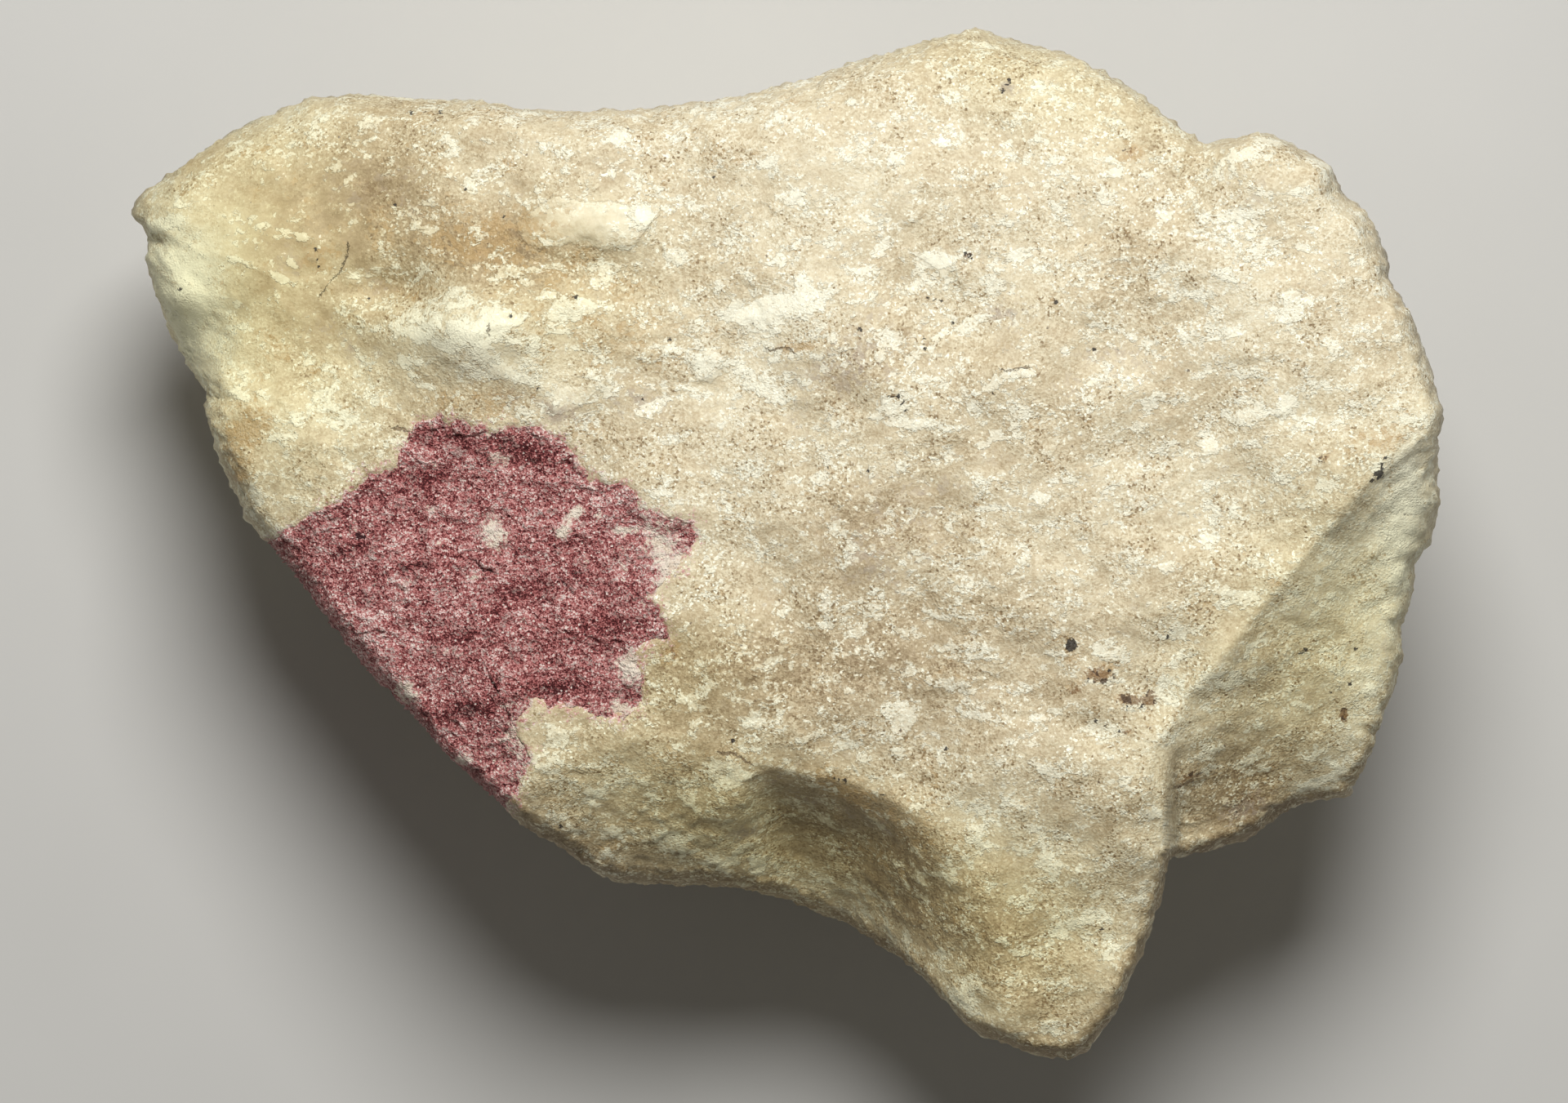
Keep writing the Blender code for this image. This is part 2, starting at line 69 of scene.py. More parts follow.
# Upper face: a plane that falls to the left, bent down towards the left end, the nose and the far edge
FACE_HEIGHT = 38.6
FACE_RISE = (0.105, -0.02)
LEFT_BEND = (-12.0, 0.0038)
NOSE_BEND = (-8.0, 0.0062)
FAR_BEND = (20.0, 0.009)

# Steep facet at the right, and the nose with its step and its bevelled side
RIDGE = [
    (24.0, -22.5), (29.7, -16.1), (31.0, -13.2), (34.9, -8.6), (40.1, -2.1), (45.3, 4.0),
    (49.2, 7.7), (54.0, 10.5),
]
RIDGE_SQUARE = 0.75
FACET_FALL = 0.55
FACET_BAND_DEPTH = 2.6
FACET_BAND_REACH = 4.0
NOSE_STEP_X = (29.9, 31.3)
NOSE_STEP_Y = (-17.0, -15.2)
NOSE_BEVEL = [(26.2, -38.0), (26.9, -26.8), (27.5, -22.3), (28.3, -19.0), (29.6, -15.6)]
NOSE_BEVEL_WIDTH = 4.6
NOSE_BEVEL_FALL = 0.5
NOSE_DROP = 1.8
NOSE_DROP_Y = (-23.0, -13.0)

# Below the brow the face breaks into a lobe at its left part and a hollow at its right part
BROW = [
    (-22.0, -19.0), (-17.0, -15.6), (-9.3, -15.1), (-5.4, -16.4), (-2.3, -17.4), (0.5, -18.0),
    (4.4, -18.8), (7.6, -19.8), (10.1, -21.3), (14.5, -24.2), (18.5, -28.5), (21.0, -34.0),
    (24.0, -42.0),
]
LOBE_FALL = 0.75
LOBE_SOFTNESS = 2.5
HOLLOW_LEFT = (-3.0, -1.2)
HOLLOW_LEFT_SPREAD = 0.4
HOLLOW_RIGHT = (5.0, 18.0)
HOLLOW_DEPTH = 3.8
HOLLOW_REACH = 3.2
HOLLOW_FALL = 0.8
BROW_STEEP = (4.0, 12.0, 0.35)  # where the brow turns steep, and how much closer it then is

# Crease at the left end
CREASE = [(-47.0, 11.0), (-45.9, 12.2), (-44.4, 14.1), (-43.2, 16.2), (-42.6, 18.0)]
CREASE_FALL = 0.75
CREASE_START = (9.5, 12.0)
CREASE_END = (16.0, 20.0)

# Lumps and dimples: middle, half length, half width, turn in degrees, height
SWELLS = [
    ((-26.2, 17.5), 5.8, 3.4, -8, 2.2),
    ((-30.9, 20.2), 4.0, 2.0, -6, -2.1),
    ((-42.0, 22.0), 7.0, 5.0, 60, 1.2),
    ((-40.5, 9.0), 5.0, 4.0, 30, 1.0),
    ((-14.2, 25.6), 4.4, 2.0, -6, 0.6),
    ((-15.0, 21.5), 5.0, 1.8, -6, -0.7),
    ((-5.1, -20.9), 2.6, 1.9, 10, 0.8),
    ((38.0, 29.0), 5.0, 3.5, -25, 1.0),
    ((32.5, 29.5), 5.5, 1.6, 60, -0.9),
    ((12.0, 8.0), 13.0, 8.0, 25, 0.9),
    ((-2.0, 5.0), 9.0, 5.0, 70, -0.8),
    ((24.5, -15.0), 2.2, 1.2, -25, -0.7),
]

# Roll of the upper face into the sides: angle round the centre, width, drop
ROLL = [
    (-180, 2.2, 5.0), (-160, 1.5, 5.0), (-138, 1.2, 6.0), (-112, 1.2, 5.0), (-92, 1.2, 5.0), (-70, 1.2, 5.0),
    (-52, 1.2, 4.5), (-20, 1.4, 4.0), (5, 1.6, 5.0), (30, 2.0, 6.0), (60, 2.6, 6.0), (90, 3.4, 6.5),
    (130, 3.6, 7.0), (155, 3.0, 5.0), (180, 2.2, 5.0),
]
ROLL_ROUNDNESS = 2.2
ROLL_WANDER = 0.45
ROLL_WAVES = 6.0

# Underside facets: direction in degrees, distance from the middle, slope
UNDER_FACETS = [
    (8, 26, 0.85), (47, 23, 0.7), (88, 18, 1.0), (126, 22, 0.6), (163, 31, 0.65),
    (205, 21, 0.75), (243, 14, 0.85), (284, 18, 0.55), (322, 24, 0.8), (350, 41, 2.6),
    (22, 42, 3.2), (62, 37, 2.2), (97, 29, 3.0), (137, 37, 2.0), (172, 44, 2.4),
    (212, 34, 2.8), (238, 25, 3.4), (268, 25, 2.2), (304, 36, 2.6), (326, 36, 1.9),
]
UNDER_MIDDLE = (1.0, 3.0)
UNDER_ROLL = 3.0
UNDER_WARP = [(13.0, 2.4), (5.5, 0.8)]
UNDER_NOISE_AT = 57.0
UNDER_INSET = [(11.0, 3.2), (5.0, 1.2)]
INSET_CONTRAST = 0.8
INSET_BELOW_RIM = 5.0
INSET_ABOVE_GROUND = 14.0
UNDER_CLEARANCE = 1.0
LUMPS_ABOVE_GROUND = 3.0

# Lumps all over, size across and height, and the red ore's low ridges, length, width and height
LUMPS = [(15.0, 1.2), (6.5, 0.6), (3.4, 0.25)]
RED_RIDGES = (4.2, 2.4, 0.35)

# Border of the red ore: its ragged edge on the upper face, then four corners past the stone's side
PATCH = [
    (-41.1, 0.5), (-38.4, 2.0), (-35.7, 4.0), (-33.2, 5.7), (-31.2, 6.4), (-30.5, 9.0),
    (-27.7, 10.3), (-24.0, 9.4), (-21.5, 9.4), (-19.3, 9.4), (-16.7, 7.4), (-15.8, 5.2),
    (-12.5, 4.7), (-11.0, 2.7), (-7.3, 1.9), (-7.1, 0.4), (-8.3, -2.0), (-10.6, -4.3),
    (-9.5, -6.2), (-9.6, -7.5), (-12.0, -8.7), (-11.2, -12.7), (-13.3, -14.2), (-16.7, -13.2),
    (-20.0, -13.0), (-21.7, -14.7), (-20.3, -17.0), (-21.2, -19.7),
    (-24.5, -24.5), (-33.0, -19.0), (-43.0, -8.0), (-46.5, -1.5),
]
PATCH_EDGE = (-0.2, 1.6)
PATCH_RECESS = 0.4
SIDE_TUCK = 0.4                 # way in along the side for each millimetre of plan outside the outline

RANDOM = np.random.default_rng(11)
ORDER = RANDOM.permutation(256)
SLOPES = RANDOM.normal(size=(256, 3))
SLOPES /= np.linalg.norm(SLOPES, axis=1, keepdims=True)
NOISE_SPREAD = 1.6
LINE_ROUNDING = 1.5             # way to either side over which the corners of a line are rounded off
TINY = 1e-9                     # keeps divisions off 0, and a ray from slipping between two edges


def noise(points):
    """Smooth noise, about -1 to 1: random slopes at whole-number corners, eased together between them."""
    cell = np.floor(points).astype(int)
    local = points - cell
    ease = local ** 3 * (local * (6 * local - 15) + 10)
    total = np.zeros(len(points))
    for corner in np.ndindex(2, 2, 2):
        key = (cell + corner) & 255
        pick = ORDER[(ORDER[(ORDER[key[:, 0]] + key[:, 1]) & 255] + key[:, 2]) & 255]
        weight = np.prod(np.where(np.array(corner) == 1, ease, 1 - ease), axis=1)
        total += weight * np.sum(SLOPES[pick] * (local - corner), axis=1)
    return NOISE_SPREAD * total


def noise_sum(points, layers, at=0, apart=0):
    """Sum of noises by size and strength, from one place in the noise or each moved on by its size."""
    return sum(strength * noise(points / size + at + apart * size) for size, strength in layers)


def step(value, low, high):
    """0 below low, 1 above high, and a smooth rise between."""
    part = np.clip((value - low) / (high - low), 0, 1)
    return part * part * (3 - 2 * part)


def along_line(position, positions, values):
    """Value along a line of given points: the mean of five readings, which rounds the line's corners."""
    offsets = np.linspace(-LINE_ROUNDING, LINE_ROUNDING, 5)
    return sum(np.interp(position + offset, positions, values) for offset in offsets) / len(offsets)


def flat_of(x, y):
    """Plan points with a height of 0, for noise that doesn't change with height."""
    return np.stack([x, y, np.zeros(len(x))], axis=1)


def plan_at(angle, distance, middle=CENTRE):
    """Plan point at an angle and a distance from a middle: its X and its Y."""
    return middle[0] + distance * np.cos(angle), middle[1] + distance * np.sin(angle)


def border_radius(angle, border, middle):
    """Distance from the middle to a closed border in a direction, straight between the border's points."""
    corners = np.array(border + border[:1]) - middle
    start = corners[:-1]
    edge = corners[1:] - start
    ray = np.stack([np.cos(angle), np.sin(angle)], axis=1)[:, None, :]
    cross = ray[..., 0] * edge[:, 1] - ray[..., 1] * edge[:, 0]
    along = (start[:, 0] * ray[..., 1] - start[:, 1] * ray[..., 0]) / cross
    reach = (start[:, 0] * edge[:, 1] - start[:, 1] * edge[:, 0]) / cross
    hit = (along >= -TINY) & (along <= 1 + TINY) & (reach > 0)
    return np.max(np.where(hit, reach, 0), axis=1)


def depth_inside(x, y, border):
    """Distance to a closed border, above 0 inside it and below 0 outside it."""
    corners = np.array(border)
    following = np.roll(corners, -1, axis=0)
    edge = following - corners
    away = np.stack([x, y], axis=1)[:, None, :] - corners
    along = np.clip(np.sum(away * edge, axis=2) / np.sum(edge * edge, axis=1), 0, 1)
    nearest = np.linalg.norm(away - along[..., None] * edge, axis=2).min(axis=1)
    spans = (corners[:, 1] > y[:, None]) != (following[:, 1] > y[:, None])
    rise = np.where(edge[:, 1] == 0, 1, edge[:, 1])
    crossing = corners[:, 0] + (y[:, None] - corners[:, 1]) * edge[:, 0] / rise
    inside = np.sum(spans & (crossing > x[:, None]), axis=1) % 2 == 1
    return np.where(inside, nearest, -nearest)


def spots_at(x, y, spots):
    """Sum of soft oval spots: bell curves of the distance from a middle in half lengths and half widths."""
    total = np.zeros(len(x))
    for middle, long_half, short_half, turn, amount in spots:
        along = np.array([np.cos(np.radians(turn)), np.sin(np.radians(turn))])
        u = ((x - middle[0]) * along[0] + (y - middle[1]) * along[1]) / long_half
        v = ((y - middle[1]) * along[0] - (x - middle[0]) * along[1]) / short_half
        total += amount * np.exp(-(u * u + v * v))
    return total


def upper_face(x, y):
    """Height of the upper face: a bent plane, less facet, hollow, lobe and crease, plus swells and lumps."""
    z = FACE_HEIGHT + FACE_RISE[0] * x + FACE_RISE[1] * y
    z -= LEFT_BEND[1] * np.minimum(x - LEFT_BEND[0], 0) ** 2
    z -= NOSE_BEND[1] * np.minimum(y - NOSE_BEND[0], 0) ** 2
    z -= FAR_BEND[1] * np.maximum(y - FAR_BEND[0], 0) ** 2

    ridge_x, ridge_y = np.array(RIDGE).T
    fall = RIDGE_SQUARE * np.maximum(x - along_line(y, ridge_y, ridge_x), 0)
    beyond_step = np.maximum(step(x, *NOSE_STEP_X), step(y, *NOSE_STEP_Y))
    band = FACET_BAND_DEPTH * (1 - np.exp(-fall / FACET_BAND_REACH))
    z -= (FACET_FALL * fall + band) * beyond_step
    z -= NOSE_DROP * step(x, *NOSE_STEP_X) * (1 - step(y, *NOSE_DROP_Y))

    bevel_x, bevel_y = np.array(NOSE_BEVEL).T
    bevel = np.clip(x - np.interp(y, bevel_y, bevel_x), 0, NOSE_BEVEL_WIDTH)
    z -= NOSE_BEVEL_FALL * bevel * (1 - beyond_step) * (1 - step(y, *NOSE_STEP_Y))

    brow_x, brow_y = np.array(BROW).T
    under = np.maximum(along_line(x, brow_x, brow_y) - y, 0) * (1 - BROW_STEEP[2] * step(x, *BROW_STEEP[:2]))
    spread = HOLLOW_LEFT_SPREAD * under
    hollow_side = step(x, HOLLOW_LEFT[0] - spread, HOLLOW_LEFT[1] + spread)
    hollow = hollow_side * (1 - step(x, *HOLLOW_RIGHT))
    z -= (1 - hollow_side) * LOBE_FALL * under ** 2 / (under + LOBE_SOFTNESS)
    z -= hollow * (HOLLOW_DEPTH * (1 - np.exp(-(under / HOLLOW_REACH) ** 2)) + HOLLOW_FALL * under)

    crease_x, crease_y = np.array(CREASE).T
    outside = np.maximum(np.interp(y, crease_y, crease_x) - x, 0)
    z -= CREASE_FALL * outside * step(y, *CREASE_START) * (1 - step(y, *CREASE_END))

    flat = flat_of(x, y)
    z += spots_at(x, y, SWELLS) + noise_sum(flat, LUMPS, apart=1)

    in_red = step(depth_inside(x, y, PATCH), *PATCH_EDGE)
    long_size, short_size, ridge_height = RED_RIDGES
    z += in_red * (ridge_height * noise(flat / (long_size, short_size, 1)) - PATCH_RECESS)
    return z


def roll_at(angle):
    """Width of the roll at each angle, and its drop from the upper face down to the rim."""
    angles, widths, drops = np.array(ROLL).T
    degrees = np.degrees(angle)
    wander = 1 + ROLL_WANDER * noise(ROLL_WAVES * flat_of(np.cos(angle), np.sin(angle)))
    return np.interp(degrees, angles, widths) * wander, np.interp(degrees, angles, drops) * wander


def under_face(x, y):
    """Height of the underside: 0 on the resting face, and the highest of the bent facets outside it."""
    points = flat_of(x, y) + UNDER_NOISE_AT
    warped_x = x + noise_sum(points, UNDER_WARP) - UNDER_MIDDLE[0]
    warped_y = y + noise_sum(points + UNDER_NOISE_AT, UNDER_WARP) - UNDER_MIDDLE[1]
    z = np.zeros(len(x))
    for direction, distance, slope in UNDER_FACETS:
        turn = np.radians(direction)
        z = np.maximum(z, slope * (warped_x * np.cos(turn) + warped_y * np.sin(turn) - distance))
    return np.maximum(z + step(z, 0, LUMPS_ABOVE_GROUND) * noise_sum(points, LUMPS), 0)


def stone_place(angle, inward, upper):
    """Place on the bare lump, in millimetres, at an angle round the centre and a way in from the outline.

    Height goes from the rim's own to the face's along a quarter of a superellipse. The under skin is also
    dug in sideways by noise.
    """
    radius = border_radius(angle, OUTLINE, CENTRE)
    x, y = plan_at(angle, radius - inward)
    roll, drop = roll_at(angle)
    rim = upper_face(*plan_at(angle, radius)) - drop
    if upper:
        face = upper_face(x, y)
    else:
        roll = UNDER_ROLL
        face = np.minimum(under_face(x, y), rim - UNDER_CLEARANCE)
    rise = (1 - (1 - np.clip(inward / roll, 0, 1)) ** ROLL_ROUNDNESS) ** (1 / ROLL_ROUNDNESS)
    z = rim + (face - rim) * rise
    if not upper:
        place = np.stack([x, y, z], axis=1)
        inset = sum(depth * np.clip(0.5 + INSET_CONTRAST * noise(place / size), 0, 1)
                    for size, depth in UNDER_INSET)
        inset *= step(rim - z, 0, INSET_BELOW_RIM) * step(z, 0, INSET_ABOVE_GROUND)
        x, y = plan_at(angle, radius - inward - inset)
    lean = 1 - LEAN * (z - LEAN_LEVEL)
    return np.stack([x * lean - BOX_MIDDLE[0], y * lean - BOX_MIDDLE[1], z], axis=1)


def square_grid(cells):
    """A square grid's points: their ring, from 0 in the middle to 1 at the border, and their angle."""
    side = np.linspace(-1, 1, cells + 1)
    v, u = np.meshgrid(side, side, indexing="ij")
    u, v = u.ravel(), v.ravel()
    ring = np.maximum(np.abs(u), np.abs(v))
    u = np.where(np.abs(u) < TINY, TINY, u)
    v = np.where(np.abs(v) < TINY, TINY, v)
    wide = np.abs(u) >= np.abs(v)
    turn = np.where(wide, v / u, 2 - u / v) * np.pi / 4
    turn += np.where(np.where(wide, u, v) < 0, np.pi, 0)
    return ring, (turn + np.pi) % (2 * np.pi) - np.pi


def grid_ring(cells):
    """Row and column of the points round a square grid's border, once round, counter-clockwise."""
    way = np.arange(cells)
    full, none = np.full(cells, cells), np.zeros(cells, int)
    rows = np.concatenate([none, way, full, cells - way])
    columns = np.concatenate([way, full, cells - way, none])
    return rows, columns


def grid_triangles(cells):
    """Two triangles for each cell of a square grid, split along the diagonal that runs to the middle."""
    row, column = np.divmod(np.arange(cells * cells), cells)
    near = row * (cells + 1) + column
    far = near + cells + 1
    one_way = np.stack([near, near + 1, far + 1, near, far + 1, far], axis=1)
    other_way = np.stack([near, near + 1, far, near + 1, far + 1, far], axis=1)
    same_side = (row * 2 < cells) == (column * 2 < cells)
    return np.where(same_side[:, None], one_way, other_way).reshape(-1, 3)


def two_skin_triangles(cells):
    """Triangles of two square grids that share one border, and which points of the second grid are used.

    The second grid has half as many cells a side and is turned over. Between its outermost inner ring and
    the first grid's border there is one triangle for each edge of either.
    """
    half = cells // 2
    across = cells + 1
    inner = half - 1
    upper = grid_triangles(cells)
    under = grid_triangles(inner - 1)[:, ::-1] + across * across
    rows, columns = grid_ring(cells)
    outer = rows * across + columns
    inner_row = np.clip(rows // 2, 1, inner) - 1
    inner_column = np.clip(columns // 2, 1, inner) - 1
    lower = across * across + inner_row * inner + inner_column
    next_outer, next_lower = np.roll(outer, -1), np.roll(lower, -1)
    band = np.concatenate([
        np.stack([outer, lower, next_outer], axis=1),
        np.stack([lower, next_lower, next_outer], axis=1)[lower != next_lower],
    ])
    rows, columns = np.divmod(np.arange((half + 1) ** 2), half + 1)
    used = (rows > 0) & (rows < half) & (columns > 0) & (columns < half)
    return np.concatenate([upper, under, band]), used


def new_mesh(name, places, triangles):
    """A mesh from places in millimetres and triangles of point numbers."""
    mesh = bpy.data.meshes.new(name)
    mesh.vertices.add(len(places))
    mesh.vertices.foreach_set("co", (places * MM).ravel())
    mesh.loops.add(triangles.size)
    mesh.loops.foreach_set("vertex_index", triangles.ravel())
    mesh.polygons.add(len(triangles))
    mesh.polygons.foreach_set("loop_start", np.arange(0, triangles.size, 3))
    mesh.update(calc_edges=True)
    mesh.shade_smooth()
    return mesh


def move_points(mesh, places):
    """Put a mesh's points at new places in millimetres."""
    mesh.vertices.foreach_set("co", (places * MM).ravel())
    mesh.update()


def push_out(mesh, places, height):
    """Move each point along its own normal by a height in millimetres, and never below the ground."""
    normals = np.empty(len(places) * 3)
    mesh.vertex_normals.foreach_get("vector", normals)
    moved = places + normals.reshape(-1, 3) * height[:, None]
    moved[:, 2] = np.maximum(moved[:, 2], 0)
    move_points(mesh, moved)
    return moved


def paint(mesh, **numbers):
    """Keep one number for each point under each name, for the material to read."""
    for name, values in numbers.items():
        mesh.attributes.new(name, "FLOAT", "POINT").data.foreach_set("value", values)


def add_object(name, data):
    """A new object in the scene, at the origin."""
    added = bpy.data.objects.new(name, data)
    bpy.context.scene.collection.objects.link(added)
    return added


# Fine relief in millimetres. Grains and crumbs have a size and a height. The noises of chips and ledges are
# so many times finer than the chips' size or the ledges' spacing, with a strength and a place in the noise.
GRAIN_RELIEF = [(2.4, 0.08), (1.2, 0.05), (0.7, 0.03)]
CHIP_SIZE = 2.3
CHIP_NOISES = [(1.0, 1.0, 3), (2.2, 0.5, 5), (4.6, 0.3, 7)]
CHIP_HEIGHT = 0.08
CHIP_EDGE = (0.22, 0.36)
LEDGE_TURN = 25
LEDGE_SPACING = 2.4
LEDGE_HEIGHT = 0.13
LEDGE_DROP = 0.84               # share of the spacing after which a ledge drops
LEDGE_BENDS = [(0.46, 1.1, 31), (1.4, 0.4, 33)]
LEDGE_GAPS = [(0.37, 1.0, 37)]
LEDGE_GAP_EDGE = (-0.05, 0.3)
RIM_CRUMBS = [(1.9, 0.1), (0.9, 0.2), (0.5, 0.15)]
RIM_CRUMBS_AT = 50
RIM_REACH = (0.4, 2.6)


def finer_noises(place, size, layers):
    """Sum of noises, each so many times finer than a size, with its strength and its place in the noise."""
    return sum(strength * noise(place * finer / size + at) for finer, strength, at in layers)


def chips_at(place):
    """0 between the chips and 1 on them: where a sum of three noises passes a threshold."""
    return step(finer_noises(place, CHIP_SIZE, CHIP_NOISES), *CHIP_EDGE)


def ledges_at(place, turn, spacing):
    """Short ledges along one direction: each rises slowly across that direction and then drops at once."""
    across = place[:, 1] * np.cos(np.radians(turn)) - place[:, 0] * np.sin(np.radians(turn))
    level = finer_noises(place, spacing, LEDGE_BENDS) - across / spacing
    part = level - np.floor(level)
    saw = part * (1 - step(part, LEDGE_DROP, 1.0))
    return saw * step(finer_noises(place, spacing, LEDGE_GAPS), *LEDGE_GAP_EDGE)


def relief(place, inward):
    """Fine relief of broken rock in millimetres: grains, raised chips, ledges, and crumbs at the rim."""
    height = noise_sum(place, GRAIN_RELIEF, apart=1) + CHIP_HEIGHT * chips_at(place)
    height += LEDGE_HEIGHT * ledges_at(place, LEDGE_TURN, LEDGE_SPACING)
    return height + noise_sum(place, RIM_CRUMBS, at=RIM_CRUMBS_AT) * (1 - step(inward, *RIM_REACH))


# Where the red ore goes down into the rock: towards this point, by a depth that grows inside its border
POCKET_POINT = (-20.0, 1.0, 22.0)
POCKET_LIP = (-0.1, 0.5)
POCKET_GAP = 0.2
RED_SINK = 0.12
RED_THICKNESS = 6.5
RED_WALL = 3.2                  # the thickness grows by two thirds over this way in from the border
BORDER_WANDER = [(2.6, 0.45), (1.1, 0.35), (0.5, 0.2)]
BORDER_NOISE_AT = 90


def red_depth(x, y):
    """Distance inside the ragged border of the red ore: the plain distance, moved to and fro by noise."""
    return depth_inside(x, y, PATCH) + noise_sum(flat_of(x, y), BORDER_WANDER, at=BORDER_NOISE_AT)


def bowl(inside):
    """Thickness of the red ore: it grows fast inside its border and levels off towards the middle."""
    return RED_THICKNESS * (1 - np.exp(-np.clip(inside, 0, None) / RED_WALL))


def sunk(place, depth):
    """Places moved towards the pocket's point by a depth in millimetres."""
    way = np.array(POCKET_POINT) - place
    return place + way / np.linalg.norm(way, axis=1, keepdims=True) * depth[:, None]


# Marks on the face, in millimetres: middle, half length, half width, turn in degrees, strength
TONES = [
    ((0.0, 34.0), 60.0, 8.0, 0, 0.02), ((42.0, 18.0), 10.0, 14.0, 0, 0.06),
    # First spot: paler rock at the left end, and partly painted light on a side that turns from the lamp
    ((-48.5, 19.0), 3.5, 6.5, 0, 0.7), ((2.0, -10.0), 14.0, 6.0, 0, -0.26),
    # Painted shade: the band under the brow and the hollow's low part, which face away from the lamp, painted
    # darker
    ((5.0, -22.0), 8.0, 2.2, -24, -0.14), ((7.5, -26.5), 9.0, 3.6, -38, -0.26),
    ((20.0, -31.0), 8.0, 9.0, 0, -0.1), ((-8.0, -22.0), 9.0, 4.0, 0, -0.16),
    ((36.5, -19.0), 6.0, 4.0, 25, -0.26), ((-36.0, 27.0), 10.0, 5.0, 20, -0.2),
    ((-23.0, 23.0), 7.0, 3.6, -10, -0.3), ((-37.0, 22.0), 11.0, 10.0, 0, -0.07),
    ((-31.6, 27.6), 4.6, 2.8, 10, -0.06), ((49.0, 3.0), 2.2, 7.0, -5, 0.45),
    # Second spot: painted shade in the dimple above the white bump
    ((36.3, -20.8), 2.4, 1.2, 25, -0.22), ((-29.9, 20.2), 2.8, 1.1, -10, -0.12),
    ((46.5, -10.0), 2.0, 9.0, -22, 0.16), ((43.5, -3.0), 4.0, 8.0, -35, 0.07),
    ((-26.0, 16.8), 6.0, 3.4, -8, 0.32), ((-38.0, 16.0), 5.0, 5.0, 0, -0.08),
    ((1.0, 18.8), 5.0, 3.0, 20, 0.24), ((-1.0, 26.0), 9.0, 4.0, 20, 0.1),
    ((-3.0, 12.0), 5.0, 3.0, 60, 0.08), ((6.0, 14.0), 6.0, 3.0, 35, -0.14),
    ((8.0, 2.0), 8.0, 4.0, 30, -0.12), ((-14.0, 14.5), 5.0, 3.0, -10, -0.10),
    ((30.5, -24.0), 1.2, 8.0, 8, 0.12),
]
WHITES = [
    ((12.1, 22.5), 2.0, 1.5, 0, 1.2), ((-25.0, 32.2), 2.2, 1.2, 0, 0.8), ((0.3, 18.9), 4.0, 2.0, 20, 1.0),
    ((40.1, 19.8), 1.4, 0.8, 0, 1.0), ((30.0, 17.7), 1.8, 0.8, 30, 0.9), ((37.5, 30.4), 3.6, 2.6, 0, 0.7),
    ((-26.0, 17.2), 5.6, 3.1, -6, 1.15), ((-6.4, 14.4), 1.3, 1.3, 0, 0.8),
    ((-11.2, 26.2), 1.6, 1.2, -4, 1.0), ((48.7, -2.7), 0.9, 0.9, 0, 1.6), ((24.5, -14.5), 0.8, 0.8, 0, 1.4),
    ((-49.8, 25.4), 1.6, 0.8, 20, 1.3), ((-48.6, 26.3), 1.3, 0.8, 40, 0.9),
    ((-46.9, 23.4), 1.1, 0.35, -30, 1.2), ((-44.4, 22.8), 1.4, 0.28, -14, 1.2),
    ((-41.9, 21.9), 1.2, 0.26, -22, 1.2), ((-40.3, 21.2), 0.9, 0.4, -10, 1.4),
    ((-39.2, 22.2), 0.9, 0.4, -35, 1.4), ((-39.0, 24.4), 2.2, 1.6, 0, 0.6), ((7.3, 15.1), 0.5, 0.5, 0, 1.6),
    ((10.5, 14.9), 1.2, 0.5, 10, 1.2), ((12.0, 16.2), 0.9, 0.6, 30, 1.1), ((16.6, 21.0), 0.9, 0.9, 0, 0.9),
    ((14.6, 17.6), 1.0, 0.6, 10, 1.3), ((-2.0, 12.9), 1.8, 0.9, -20, 0.9), ((3.2, 9.6), 0.9, 0.8, 0, 0.9),
    ((10.1, 9.5), 1.5, 0.35, 5, 1.1), ((17.3, 9.1), 1.8, 1.0, 35, 1.0), ((16.3, 12.6), 1.4, 0.5, 60, 1.2),
    ((18.6, 13.7), 1.7, 0.4, 3, 1.1), ((-7.3, 17.1), 0.8, 0.8, 0, 1.2), ((28.1, 9.3), 1.0, 0.8, 0, 1.0),
    ((29.9, 12.0), 1.3, 0.5, 0, 1.0), ((36.6, 10.1), 1.5, 0.9, 20, 0.9), ((33.5, 7.9), 0.9, 0.6, 30, 0.9),
    ((27.5, -0.7), 0.7, 1.2, 0, 1.0), ((30.8, -1.7), 1.3, 0.5, 10, 1.0), ((34.5, -3.8), 1.4, 0.6, 25, 1.1),
    ((36.7, -4.3), 0.9, 1.0, 20, 1.2), ((31.7, -6.9), 2.0, 0.6, 5, 0.8), ((9.3, -13.8), 1.2, 1.1, 0, 1.3),
    ((8.8, -15.9), 0.6, 1.4, 10, 1.2), ((5.9, -17.1), 0.9, 0.5, 30, 1.1), ((15.0, -12.8), 1.2, 0.9, 0, 1.0),
    ((12.4, -10.7), 0.9, 0.6, 0, 0.9), ((1.3, -15.3), 0.8, 0.6, 0, 0.9), ((10.6, -21.0), 1.1, 0.5, 35, 0.9),
    ((-19.0, -17.6), 1.0, 1.0, 0, 1.1), ((-18.5, -15.1), 1.0, 0.8, 0, 1.3),
    ((-9.2, -23.8), 1.6, 0.9, -10, 0.9), ((-4.6, -19.1), 1.3, 1.2, 0, 0.9),
    ((-4.6, -25.1), 1.7, 0.5, -5, 0.8), ((13.9, -35.6), 1.1, 1.1, 0, 0.9),
    ((15.8, -35.0), 1.0, 0.8, 0, 0.9), ((49.3, 4.5), 1.2, 4.0, -8, 0.8), ((42.6, -18.6), 2.2, 0.8, 20, 0.8),
    ((-22.0, 21.7), 1.0, 0.5, 10, 1.0), ((-16.6, 19.0), 2.4, 0.8, -5, 1.0),
    ((-20.4, 12.6), 2.0, 0.7, -20, 0.9), ((-15.0, 13.0), 1.0, 0.9, 40, 0.9),
    ((26.4, -8.6), 0.9, 0.8, 0, 1.1),
]
